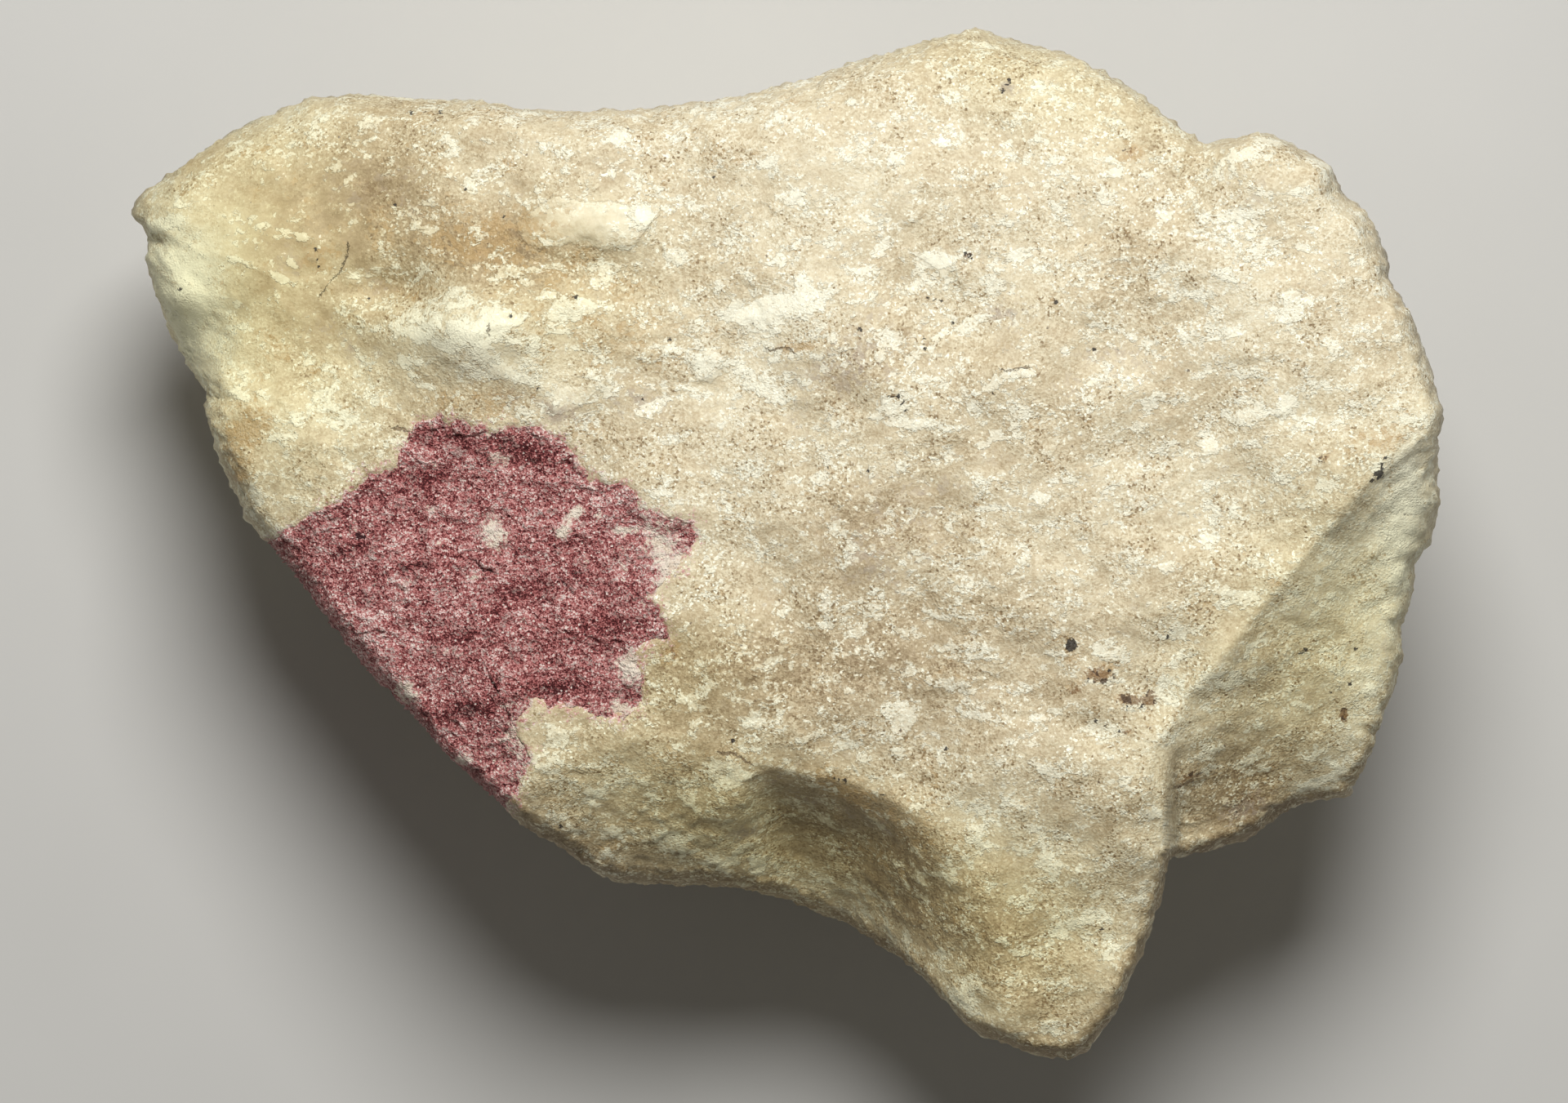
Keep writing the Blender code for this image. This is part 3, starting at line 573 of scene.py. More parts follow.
TANS = [
    ((-24.5, 23.8), 5.4, 2.2, -12, 0.85), ((-20.0, 25.4), 3.0, 1.8, 0, 0.8),
    # First mark: painted shade, the olive-brown of the dimple above the white bump
    ((-30.9, 20.5), 3.6, 1.5, -8, 0.3), ((-43.4, 8.7), 3.4, 1.8, 60, 0.9),
    ((27.4, 31.3), 1.6, 0.9, 20, 0.8), ((47.4, 8.2), 2.6, 1.3, 25, 1.0), ((43.0, 7.0), 1.0, 0.5, 30, 0.9),
    ((-9.0, -8.3), 1.6, 1.0, 60, 0.9), ((1.1, 15.7), 2.6, 0.5, 5, 0.9), ((-22.5, 11.2), 7.0, 1.6, -8, 0.7),
    ((-43.9, 5.3), 0.9, 0.5, 20, 1.6), ((-31.0, 27.0), 9.0, 4.0, 25, 0.3),
    # First mark: painted shade, the brown of the shaded band under the brow
    ((6.0, -20.3), 7.0, 1.4, -25, 0.8), ((-17.0, 18.6), 7.0, 4.4, -10, 0.6),
    ((-10.0, 16.5), 3.0, 2.0, 0, 0.4), ((7.2, 22.7), 1.4, 0.5, 15, 0.9), ((-38.0, 22.9), 2.0, 1.6, 0, 0.4),
    ((-14.1, -23.8), 1.2, 0.5, 0, 0.9), ((-12.1, -21.5), 1.2, 0.6, 20, 0.7),
    ((-9.0, -17.0), 5.0, 1.0, 3, 0.6), ((0.7, 35.3), 1.4, 0.7, 0, 0.5), ((-41.0, 13.0), 4.0, 3.0, 60, 0.35),
    # First mark: painted shade, the brown of the hollow's low part, which faces away from the lamp
    ((9.0, -27.0), 6.0, 4.0, -40, 0.35), ((20.0, -9.0), 8.0, 4.0, 20, 0.2),
]
GREYS = [
    # First mark: painted shade in the dimple above the white bump
    ((-30.2, 20.4), 3.4, 1.4, -8, 0.25), ((-34.0, 15.7), 2.2, 1.8, 0, 0.4),
    ((17.5, 36.3), 0.9, 0.7, 0, 1.3), ((5.5, 14.5), 5.0, 3.0, 35, 0.8), ((8.0, 1.0), 7.0, 4.0, 30, 0.5),
    ((-39.0, 22.6), 3.0, 1.8, 0, 0.5), ((-18.0, 10.4), 5.0, 0.9, -20, 0.9),
    ((16.8, 18.4), 1.5, 1.2, 10, 1.0), ((36.4, -20.8), 2.4, 1.1, 25, 1.3),
    # Both marks: painted shade, the grey-brown of the shaded band under the brow
    ((1.2, -19.9), 3.4, 1.1, -14, 0.4), ((7.4, -22.2), 3.8, 1.1, -26, 0.6),
    ((-31.2, 28.2), 4.0, 2.2, 10, 0.5), ((-12.0, 11.8), 4.0, 1.6, -20, 0.5),
    ((-3.3, -23.0), 1.8, 0.7, 5, 0.8), ((36.0, 27.5), 3.0, 2.0, 40, 0.5), ((25.0, 14.0), 3.0, 2.0, 30, 0.4),
    ((-5.0, 7.0), 4.0, 2.0, 60, 0.35), ((15.0, -13.0), 3.0, 2.0, 0, 0.3),
    ((36.5, -11.5), 5.0, 3.0, 45, 0.35),
]
RUSTS = [
    ((24.8, -10.4), 1.4, 0.9, 0, 1.1), ((22.9, -11.6), 0.9, 0.45, 0, 1.0),
    ((27.2, -12.4), 1.2, 0.6, -15, 1.2), ((28.9, -12.2), 0.6, 0.8, 0, 1.2),
    ((44.3, -13.5), 0.45, 0.9, -10, 1.3), ((30.3, -7.1), 0.8, 0.4, 45, 0.7),
    ((26.9, -14.9), 0.9, 0.3, 0, 0.9), ((31.8, -18.4), 1.6, 0.45, 40, 0.9), ((42.8, 6.9), 0.7, 0.5, 0, 0.8),
    ((-24.5, 23.4), 2.0, 0.8, 20, 0.45), ((14.4, 23.0), 0.6, 0.6, 0, 0.9),
    ((9.0, -14.9), 0.3, 0.25, 0, 1.4), ((-9.2, -8.6), 0.9, 0.8, 0, 0.8), ((45.8, 8.8), 1.0, 0.6, 10, 0.6),
    ((27.2, 31.3), 0.9, 0.5, 30, 0.8), ((36.4, -20.6), 2.4, 1.3, 30, 0.55),
]
# Areas painted more yellow than pink. On the slopes that face from the lamp, the yellow is painted warm
# shade.
CREAMS = [
    ((-43.0, 20.0), 14.0, 18.0, 0, 1.0), ((-2.0, -23.0), 18.0, 6.0, -15, 1.1),
    ((18.0, -33.0), 10.0, 10.0, 0, 0.7), ((43.0, -8.0), 9.0, 17.0, -38, 0.8),
    ((-18.0, 20.0), 8.0, 7.0, 0, 0.45), ((-9.0, -10.0), 8.0, 5.0, 0, 0.5),
    ((20.0, 37.0), 14.0, 4.0, -20, 0.4),
]
# Areas where the rock is waxy and its grains hardly show
CALM = [
    ((-40.0, 24.0), 9.0, 10.0, 0, 1.0), ((41.0, -6.0), 7.0, 15.0, -35, 0.2),
    ((-15.5, 25.6), 5.0, 1.8, 0, 0.9), ((-2.0, 30.0), 30.0, 4.0, 5, 0.3),
]
# Plates that have split off in part and stand a little proud: their borders
FLAKES = [
    [(-18.5, 27.7), (-16.8, 27.4), (-15.4, 27.2), (-14.1, 27.3), (-12.5, 26.9), (-11.8, 27.2),
     (-10.1, 27.1), (-10.2, 26.2), (-11.0, 25.4), (-11.6, 24.6), (-12.1, 23.8), (-13.2, 23.8),
     (-14.5, 23.5), (-15.4, 23.8), (-16.3, 23.6), (-17.2, 24.1), (-18.3, 23.7), (-19.6, 23.6),
     (-20.7, 23.9), (-21.6, 25.6)],
    [(-7.7, 14.1), (-7.2, 15.4), (-5.9, 15.8), (-5.1, 14.9), (-5.2, 13.6), (-6.1, 12.9), (-7.0, 13.1)],
    [(10.3, 22.9), (11.8, 23.7), (12.6, 23.5), (13.0, 22.7), (13.9, 22.0), (13.5, 21.7), (12.9, 21.8),
     (12.5, 21.0), (12.0, 21.7), (11.3, 22.4)],
    [(19.0, 18.4), (19.6, 19.0), (20.3, 19.4), (20.3, 19.0), (19.7, 18.4), (19.2, 18.1)],
    [(20.0, 7.3), (20.8, 7.9), (21.7, 8.3), (21.4, 7.6), (20.8, 6.9)],
    [(-18.8, 12.0), (-18.3, 12.5), (-17.6, 12.6), (-16.3, 12.6), (-15.6, 12.0), (-15.9, 11.4),
     (-17.0, 10.7), (-18.3, 10.3), (-19.0, 10.9)],
    [(-15.7, 13.2), (-14.3, 13.7), (-14.5, 12.7), (-15.4, 11.9), (-15.9, 12.5)],
    [(-24.0, 14.2), (-22.6, 14.6), (-21.0, 13.4), (-21.6, 12.9), (-23.4, 13.4)],
]
FLAKE_HEIGHT = 0.07
FLAKE_EDGE = (-0.1, 0.12)
WHITE_HEIGHT = 0.1
CHIP_WHITENESS = 0.4
MARK_FADE = (0.05, 0.4)         # way in from the outline over which the face's marks come up
# Painted shade: the rim that faces -Y, away from the lamp, is painted darker
RIM_SHADE = 0.3                 # how much darker the rock is along the rim that faces -Y
RIM_SHADE_REACH = (0.2, 2.0)
RIM_SHADE_FACING = (0.1, 0.6)
# Dark grains: middle and radius
SPECKS = [
    ((22.6, -8.0), 0.5), ((30.3, -7.3), 0.17), ((28.7, -10.8), 0.11), ((-37.5, 23.4), 0.12),
    ((-31.1, 27.1), 0.1), ((-48.2, 20.3), 0.1), ((-33.2, 19.6), 0.1), ((24.5, 15.5), 0.13),
    ((25.0, -30.6), 0.14), ((12.7, -16.3), 0.15), ((47.1, 5.6), 0.35), ((46.6, 5.1), 0.17),
    ((47.6, 6.9), 0.13), ((41.2, -8.4), 0.15), ((40.8, -8.7), 0.11), ((44.8, -11.1), 0.15),
    ((43.2, -11.8), 0.08), ((45.2, -8.3), 0.11), ((17.2, 36.1), 0.17), ((17.7, 36.9), 0.15),
    ((26.4, -14.9), 0.14), ((24.6, -14.0), 0.14), ((24.0, -10.8), 0.11), ((25.6, -10.0), 0.1),
    ((28.2, -12.9), 0.14), ((27.0, -13.0), 0.11), ((11.2, 19.6), 0.09), ((12.3, 19.4), 0.08),
    ((13.2, 17.6), 0.1), ((11.0, 15.5), 0.12), ((10.9, 16.4), 0.08), ((21.4, 19.3), 0.12),
    ((8.9, 11.8), 0.14), ((9.5, 10.7), 0.12), ((8.2, 11.8), 0.07), ((5.9, 9.6), 0.11), ((5.8, 17.1), 0.12),
    ((16.3, 12.1), 0.08), ((6.5, 5.9), 0.1), ((3.3, 6.1), 0.07), ((-16.8, 19.7), 0.14),
    ((-9.3, 16.3), 0.13), ((-19.8, 12.4), 0.13), ((-11.5, 11.6), 0.1), ((-22.6, 26.1), 0.1),
    ((-25.6, 28.3), 0.1), ((-5.8, 29.2), 0.08), ((-22.0, 18.1), 0.08), ((-29.9, 34.3), 0.14),
    ((-27.6, 34.4), 0.13), ((-37.3, 22.1), 0.08), ((14.2, 23.2), 0.14), ((14.7, 22.8), 0.1),
    ((-4.3, -15.6), 0.13), ((4.6, -18.8), 0.14), ((3.7, -18.6), 0.1), ((7.7, -19.9), 0.11),
    ((-18.0, -22.4), 0.15), ((-6.9, -19.1), 0.08),
]
# Fine cracks: their points, and the half width of each
CRACKS = [
    ([(-35.0, 24.2), (-34.8, 23.9), (-35.0, 23.0), (-35.4, 21.9), (-36.4, 20.8), (-37.1, 19.8),
      (-37.4, 19.1)], 0.045),
    ([(-1.8, 15.8), (-1.3, 15.4), (0.0, 15.7), (1.0, 14.9)], 0.08),
    ([(16.9, 13.9), (17.6, 13.8), (18.8, 14.1), (19.6, 14.1)], 0.09),
    ([(-5.9, -16.5), (-4.1, -16.7), (-3.0, -17.4), (-2.5, -17.7)], 0.1),
    ([(30.6, -19.4), (31.8, -18.9), (33.1, -17.8)], 0.12),
    ([(-23.6, 17.6), (-23.8, 17.0), (-23.7, 16.5)], 0.08),
    ([(-31.4, 9.3), (-30.7, 9.2), (-30.2, 9.0)], 0.14),
]
CRACK_START = (0, 0.15)         # shares of its length over which a crack opens and closes
CRACK_END = (0.8, 1)
MARK_REACH = 1.2                # points further than this from a dark grain or a crack keep nothing of it
NO_SPECK = -5.0                 # stands for a radius where no dark grain is near
NO_CRACK = 9.0                  # stands for a distance where no crack is near
RED_REACH = 4.0                 # distances from the red ore's border are kept up to this


def flake_depth(x, y):
    """Distance inside the nearest plate's border, below 0 outside it, between -1 and 1."""
    return np.clip(np.max([depth_inside(x, y, border) for border in FLAKES], axis=0), -1, 1)


# Painted shade along the rim that faces away from the lamp
def rim_shade(x, y, inward):
    """1 along the rim that faces -Y, falling to 0 further in and round to the sides."""
    facing = -np.sin(np.arctan2(y - CENTRE[1], x - CENTRE[0]))
    return (1 - step(inward, *RIM_SHADE_REACH)) * step(facing, *RIM_SHADE_FACING)


def nearest_speck(x, y, specks):
    """Offset in X and in Y from the nearest dark grain, and its radius, by the names they are kept by."""
    middles = np.array([middle for middle, _ in specks])
    radii = np.array([radius for _, radius in specks])
    away = np.stack([x, y], axis=1)[:, None, :] - middles
    distance = np.linalg.norm(away, axis=2)
    nearest = np.argmin(distance, axis=1)
    offset = away[np.arange(len(x)), nearest]
    radius = np.where(distance.min(axis=1) < MARK_REACH, radii[nearest], NO_SPECK)
    return {"speck_x": offset[:, 0], "speck_y": offset[:, 1], "speck_radius": radius}


def nearest_crack(x, y, cracks):
    """Distance to the nearest crack and its half width, by the names they are kept by.

    The distance is above 0 on one side of the crack and below 0 on the other. The half width falls to 0 at
    the crack's ends and is 0 away from it.
    """
    side, width = np.full(len(x), NO_CRACK), np.zeros(len(x))
    row = np.arange(len(x))
    for line, half_width in cracks:
        start = np.array(line[:-1])
        edge = np.array(line[1:]) - start
        away = np.stack([x, y], axis=1)[:, None, :] - start
        along = np.clip(np.sum(away * edge, axis=2) / np.sum(edge * edge, axis=1), 0, 1)
        distance = np.linalg.norm(away - along[..., None] * edge, axis=2)
        piece = np.argmin(distance, axis=1)
        turned = edge[piece, 0] * away[row, piece, 1] - edge[piece, 1] * away[row, piece, 0]
        here = distance[row, piece] * np.where(turned < 0, -1, 1)
        way = (piece + along[row, piece]) / len(edge)
        taper = step(way, *CRACK_START) * (1 - step(way, *CRACK_END)) * (np.abs(here) < MARK_REACH)
        closer = np.abs(here) < np.abs(side)
        side, width = np.where(closer, here, side), np.where(closer, half_width * taper, width)
    return {"crack_side": side, "crack_width": width}


MATRIX_CELLS = 280
RING_CROWDING = 1.15            # above 1, the grid's rings lie closer together near the rim
ROUND_TURN = 0.06               # radians each way over which the inner rings round the outline's corners
ROUND_STEPS = 7
CORNER_POWER = 8                # the higher, the nearer to the rim the outline's own corners come back


def grid_places(ring, angle):
    """Distance from the centre to the outline, and the way in from there, for a grid's points.

    The rings are rounded inside, and the one at the rim has the outline's own corners.
    """
    radius = border_radius(angle, OUTLINE, CENTRE)
    turns = np.linspace(-ROUND_TURN, ROUND_TURN, ROUND_STEPS)
    rounded = sum(border_radius(angle + turn, OUTLINE, CENTRE) for turn in turns) / ROUND_STEPS
    reach = (rounded + (radius - rounded) * ring ** CORNER_POWER) * (1 - (1 - ring) ** RING_CROWDING)
    return radius, np.maximum(radius - reach, 0)


triangles, used = two_skin_triangles(MATRIX_CELLS)
ring, angle = square_grid(MATRIX_CELLS)
radius, top_inward = grid_places(ring, angle)
top = stone_place(angle, top_inward, True)
top_plan = plan_at(angle, radius - top_inward)
ring, angle = (values[used] for values in square_grid(MATRIX_CELLS // 2))
radius, side_inward = grid_places(ring, angle)
below = stone_place(angle, side_inward, False)
below_plan = plan_at(angle, radius + side_inward / SIDE_TUCK)

places = np.concatenate([top, below])
plan_x, plan_y = np.concatenate([top_plan, below_plan], axis=1)
inward = np.concatenate([top_inward, side_inward])
on_face = np.concatenate([step(top_inward, *MARK_FADE), np.zeros(len(below))])
whites = spots_at(plan_x, plan_y, WHITES) * on_face
flakes = flake_depth(plan_x, plan_y)
inside = red_depth(plan_x, plan_y)
matrix_mesh = new_mesh("matrix_rock", places, triangles)
height = relief(places, inward) + WHITE_HEIGHT * np.minimum(whites, 1)
places = push_out(matrix_mesh, places, height + FLAKE_HEIGHT * step(flakes, *FLAKE_EDGE))
pocket = step(inside, *POCKET_LIP) * (RED_SINK + POCKET_GAP + bowl(inside))
move_points(matrix_mesh, sunk(places, pocket))
# The tone carries the marks and the painted shade along the rim that faces -Y
tones = spots_at(plan_x, plan_y, TONES) * on_face - RIM_SHADE * rim_shade(plan_x, plan_y, inward)
paint(matrix_mesh, tone=tones, white=whites + CHIP_WHITENESS * chips_at(places), flake=flakes)
for name, spots in (("tan", TANS), ("grey", GREYS), ("rust", RUSTS)):
    paint(matrix_mesh, **{name: spots_at(plan_x, plan_y, spots) * on_face})
for name, spots in (("cream", CREAMS), ("calm", CALM)):
    paint(matrix_mesh, **{name: np.clip(spots_at(plan_x, plan_y, spots), 0, 1)})
paint(matrix_mesh, **nearest_speck(plan_x, plan_y, SPECKS), **nearest_crack(plan_x, plan_y, CRACKS))
paint(matrix_mesh, red=np.clip(inside, -RED_REACH, RED_REACH))
matrix = add_object("matrix_rock", matrix_mesh)


def put(tree, kind, sockets=(), **settings):
    """Add a node, with its settings, and its inputs by name or number as values or as links."""
    node = tree.nodes.new(kind)
    for name, value in settings.items():
        setattr(node, name, value)
    for key, value in dict(sockets).items():
        if isinstance(value, bpy.types.NodeSocket):
            tree.links.new(value, node.inputs[key])
        else:
            node.inputs[key].default_value = value
    return node


def calc(tree, operation, *values):
    """The result of a Math node."""
    return put(tree, "ShaderNodeMath", dict(enumerate(values)), operation=operation).outputs[0]


def add_up(tree, start, *parts):
    """A start value plus each socket times its factor."""
    total = start
    for socket, factor in parts:
        total = calc(tree, "MULTIPLY_ADD", socket, factor, total)
    return total


def gather(tree, start, *parts):
    """A start value plus each socket, taken about its middle value of 0.5, times its factor."""
    return add_up(tree, start, *((calc(tree, "SUBTRACT", socket, 0.5), factor) for socket, factor in parts))


def rescale(tree, value, low, high, to_low=0.0, to_high=1.0):
    """A value taken smoothly from one range to another, and held at its ends."""
    sockets = {"Value": value, "From Min": low, "From Max": high, "To Min": to_low, "To Max": to_high}
    return put(tree, "ShaderNodeMapRange", sockets, interpolation_type="SMOOTHSTEP").outputs["Result"]


def blend(tree, share, colour, other, mode="MIX"):
    """One colour laid over another, or multiplied with it, by a share."""
    node = put(tree, "ShaderNodeMix", data_type="RGBA", blend_type=mode)
    for socket, value in zip((node.inputs[0], node.inputs[6], node.inputs[7]), (share, colour, other)):
        if isinstance(value, bpy.types.NodeSocket):
            tree.links.new(value, socket)
        elif socket == node.inputs[0]:
            socket.default_value = value
        else:
            socket.default_value = (*value, 1.0)
    return node.outputs[2]


def shades(tree, value, stops):
    """A colour ramp: pairs of position and colour."""
    ramp = put(tree, "ShaderNodeValToRGB", {"Fac": value})
    for number, (position, colour) in enumerate(stops):
        stop = ramp.color_ramp.elements[number] if number < 2 else ramp.color_ramp.elements.new(position)
        stop.position = position
        stop.color = (*colour, 1.0)
    return ramp.outputs["Color"]


def millimetres(tree, stretch=(1, 1, 1), turn=0):
    """Object coordinates in millimetres, turned about Z and then stretched."""
    place = put(tree, "ShaderNodeTexCoord").outputs["Object"]
    sockets = {"Vector": place, "Rotation": (0, 0, np.radians(turn)), "Scale": [s / MM for s in stretch]}
    return put(tree, "ShaderNodeMapping", sockets).outputs["Vector"]


def shaken(tree, place, scale, shift):
    """A place moved to and fro by a noise texture, so that cells drawn from it have ragged edges."""
    sockets = {"Vector": place, "Scale": scale, "Detail": 2.0}
    waver = put(tree, "ShaderNodeTexNoise", sockets).outputs["Color"]
    terms = {0: waver, 1: (shift, shift, shift), 2: place}
    return put(tree, "ShaderNodeVectorMath", terms, operation="MULTIPLY_ADD").outputs["Vector"]


def cloud(tree, place, scale, detail, roughness, distortion=0.0):
    """A noise texture's value, 0 to 1."""
    sockets = {"Vector": place, "Scale": scale, "Detail": detail, "Roughness": roughness}
    return put(tree, "ShaderNodeTexNoise", sockets | {"Distortion": distortion}).outputs["Fac"]


def crystals(tree, place, scale):
    """Cells of a Voronoi texture: a random value for each, 0 to 1, and the distance from its middle."""
    cells = put(tree, "ShaderNodeTexVoronoi", {"Vector": place, "Scale": scale, "Randomness": 1.0})
    pick = put(tree, "ShaderNodeSeparateColor", {"Color": cells.outputs["Color"]}).outputs[0]
    return pick, cells.outputs["Distance"]


def new_group(name, inputs, **outputs):
    """An empty node group with float inputs, and outputs with their kinds: its tree and its two ends."""
    tree = bpy.data.node_groups.new(name, "ShaderNodeTree")
    for label in inputs:
        tree.interface.new_socket(label, in_out="INPUT", socket_type="NodeSocketFloat")
    for label, kind in outputs.items():
        tree.interface.new_socket(label, in_out="OUTPUT", socket_type="NodeSocket" + kind)
    return tree, tree.nodes.new("NodeGroupInput").outputs, tree.nodes.new("NodeGroupOutput").inputs


def give(tree, given, **sockets):
    """Link sockets to the outputs of a node group by their names."""
    for name, socket in sockets.items():
        tree.links.new(socket, given[name])


def use(tree, group, sockets):
    """Place a node group in a tree, and give its outputs."""
    return put(tree, "ShaderNodeGroup", sockets, node_tree=group).outputs


# Pale rock, for the matrix and for what is left of it in the red ore. One value goes from brown-beige in
# the hollows between grains to cream, tan and grey are laid over it as stains and in places as painted
# shade, and fresh white patches and grains over those.
# Texture scales are cells per millimetre, and the height is in millimetres. An edge is the range of a value
# over which a share changes, and the range that it changes through where that isn't 0 to 1.
ROCK_SHADES = [
    (0.0, (0.27, 0.19, 0.10)), (0.25, (0.50, 0.40, 0.25)), (0.5, (0.72, 0.64, 0.455)),
    (0.72, (0.86, 0.815, 0.645)), (1.0, (0.98, 0.965, 0.8)),
]
ROCK_LEVEL = 0.47               # added to the value on plain rock
FRESH_LEVEL = 0.8               # added to it on fresh patches and grains
FRESH_STRENGTH = 0.85
TAN_STAIN_AND_SHADE = (0.50, 0.34, 0.16)
GREY_STAIN_AND_SHADE = (0.40, 0.33, 0.27)
CREAM_TINT = (0.99, 0.985, 0.78)
ROCK_STRETCH = (0.55, 1.0, 1.0)
CALM_EDGE = (0.0, 1.0, 1.0, 0.25)
HUE_EDGE = (0.38, 0.62, 0.65, 1.6)
PATCHES_EDGE = (0.09, 0.12)
GRANULES_EDGE = (0.42, 0.45)
GLINTS_EDGE = (0.40, 0.44)
PIT_SHADE_EDGE = (0.49, 0.53)
TAN_EDGE = (0.25, 1.15, 0.0, 0.75)
GREY_EDGE = (0.25, 1.25, 0.0, 0.7)
pale_rock, wanted, given = new_group("pale_rock", ["Tone", "White", "Tan", "Grey", "Cream", "Calm"],
                                     Color="Color", Height="Float", Gloss="Float")
place = millimetres(pale_rock)
streaked = millimetres(pale_rock, stretch=ROCK_STRETCH, turn=-LEDGE_TURN)
broad = cloud(pale_rock, place, scale=0.12, detail=4, roughness=0.6)
hue = cloud(pale_rock, place, scale=0.3, detail=5, roughness=0.62, distortion=0.6)
middle = cloud(pale_rock, streaked, scale=0.6, detail=5, roughness=0.66, distortion=0.3)
fine = cloud(pale_rock, place, scale=5.5, detail=2, roughness=0.6)
grain_pick, _ = crystals(pale_rock, shaken(pale_rock, place, scale=2.5, shift=0.5), scale=2.4)
crumb_pick, _ = crystals(pale_rock, place, scale=5.6)
rough = calc(pale_rock, "MULTIPLY", rescale(pale_rock, wanted["Calm"], *CALM_EDGE),
             rescale(pale_rock, hue, *HUE_EDGE))
whiter = add_up(pale_rock, wanted["White"], (wanted["Calm"], -0.4))
patches = gather(pale_rock, 0.0, (middle, 1.0), (grain_pick, 0.08), (fine, 0.12))
patches = rescale(pale_rock, add_up(pale_rock, patches, (whiter, 0.17)), *PATCHES_EDGE)
granules = gather(pale_rock, 0.0, (grain_pick, 1.0), (middle, 1.5))
granules = rescale(pale_rock, add_up(pale_rock, granules, (whiter, 0.12)), *GRANULES_EDGE)
glints = rescale(pale_rock, gather(pale_rock, 0.0, (crumb_pick, 1.0), (middle, 1.4)), *GLINTS_EDGE)
# Painted shade: pits are scattered cells painted darker, for the shade in tiny pits, with no hollow in the
# relief
pit_shade = rescale(pale_rock, gather(pale_rock, 0.0, (crumb_pick, -1.0), (hue, 0.9)), *PIT_SHADE_EDGE)
sugar = gather(pale_rock, 0.0, (fine, 0.5), (grain_pick, 0.12), (crumb_pick, 0.27))
sugar = add_up(pale_rock, sugar, (glints, 0.3), (pit_shade, -0.17))
value = gather(pale_rock, wanted["Tone"], (broad, 0.6), (middle, 0.5), (hue, 0.3))
value = add_up(pale_rock, value, (sugar, rough))
colour = shades(pale_rock, calc(pale_rock, "ADD", value, ROCK_LEVEL), ROCK_SHADES)
fresh = shades(pale_rock, calc(pale_rock, "ADD", value, FRESH_LEVEL), ROCK_SHADES)
fresh_share = calc(pale_rock, "MULTIPLY", calc(pale_rock, "MAXIMUM", patches, granules), FRESH_STRENGTH)
tan_share = gather(pale_rock, wanted["Tan"], (middle, 1.5), (hue, 2.6), (grain_pick, 1.1))
grey_share = gather(pale_rock, wanted["Grey"], (middle, 1.5), (hue, -1.8), (grain_pick, 0.9))
colour = blend(pale_rock, rescale(pale_rock, tan_share, *TAN_EDGE), colour, TAN_STAIN_AND_SHADE)
colour = blend(pale_rock, rescale(pale_rock, grey_share, *GREY_EDGE), colour, GREY_STAIN_AND_SHADE)
colour = blend(pale_rock, fresh_share, colour, fresh)
colour = blend(pale_rock, wanted["Cream"], colour, CREAM_TINT, "MULTIPLY")
sugar_height = calc(pale_rock, "MULTIPLY", add_up(pale_rock, 0.0, (fine, 0.08), (crumb_pick, 0.02)), rough)
rock_height = add_up(pale_rock, sugar_height, (patches, 0.04), (granules, 0.03))
give(pale_rock, given, Color=colour, Height=rock_height, Gloss=glints)

# Red ore: dusty rose, in fine grains that go from dark crimson to pink-white, with grey-purple flecks and
# white ones
RED_SHADES = [
    (0.0, (0.07, 0.010, 0.012)), (0.2, (0.23, 0.045, 0.048)), (0.46, (0.48, 0.17, 0.165)),
    (0.74, (0.64, 0.31, 0.30)), (1.0, (0.92, 0.76, 0.72)),
]
RED_LEVEL = 0.55
MAUVE = (0.36, 0.27, 0.245)
WHITE_FLECK = (0.86, 0.76, 0.70)
CLUMP_STRETCH = (0.45, 1.3, 1.0)
SLAT_STRETCH = (0.4, 1.6, 1.0)
MAUVE_EDGE = (0.07, 0.2, 0.0, 0.6)
FLECKS_EDGE = (0.43, 0.46)
FLECK_FADE = (0.55, 0.3)        # distances from a crumb's middle, as shares of a cell
red_ore, wanted, given = new_group("red_ore", ["Tone"], Color="Color", Height="Float")
place = millimetres(red_ore)
streaked = millimetres(red_ore, stretch=CLUMP_STRETCH, turn=5)
combed = millimetres(red_ore, stretch=SLAT_STRETCH, turn=8)
clumps = cloud(red_ore, streaked, scale=0.9, detail=5, roughness=0.65, distortion=0.5)
slats = cloud(red_ore, combed, scale=1.7, detail=3, roughness=0.6, distortion=0.4)
fine = cloud(red_ore, place, scale=7.0, detail=2, roughness=0.6)
dusk = cloud(red_ore, place, scale=0.8, detail=4, roughness=0.7, distortion=0.4)
crumb_pick, crumb_distance = crystals(red_ore, place, scale=5.0)
dot_pick, _ = crystals(red_ore, shaken(red_ore, place, scale=2.0, shift=0.6), scale=1.7)
value = gather(red_ore, wanted["Tone"], (fine, 2.5), (clumps, 0.75), (slats, 0.6), (crumb_pick, 0.6),
               (dot_pick, 0.12))
colour = shades(red_ore, calc(red_ore, "ADD", value, RED_LEVEL), RED_SHADES)
mauve_share = rescale(red_ore, gather(red_ore, 0.0, (dusk, 1.0), (crumb_pick, 0.25)), *MAUVE_EDGE)
colour = blend(red_ore, mauve_share, colour, MAUVE)
flecks = rescale(red_ore, gather(red_ore, 0.0, (crumb_pick, 1.0), (dusk, -1.2)), *FLECKS_EDGE)
flecks = calc(red_ore, "MULTIPLY", flecks, rescale(red_ore, crumb_distance, *FLECK_FADE))
colour = blend(red_ore, flecks, colour, WHITE_FLECK)
give(red_ore, given, Color=colour, Height=add_up(red_ore, 0.0, (fine, 0.24), (crumb_distance, 0.12)))

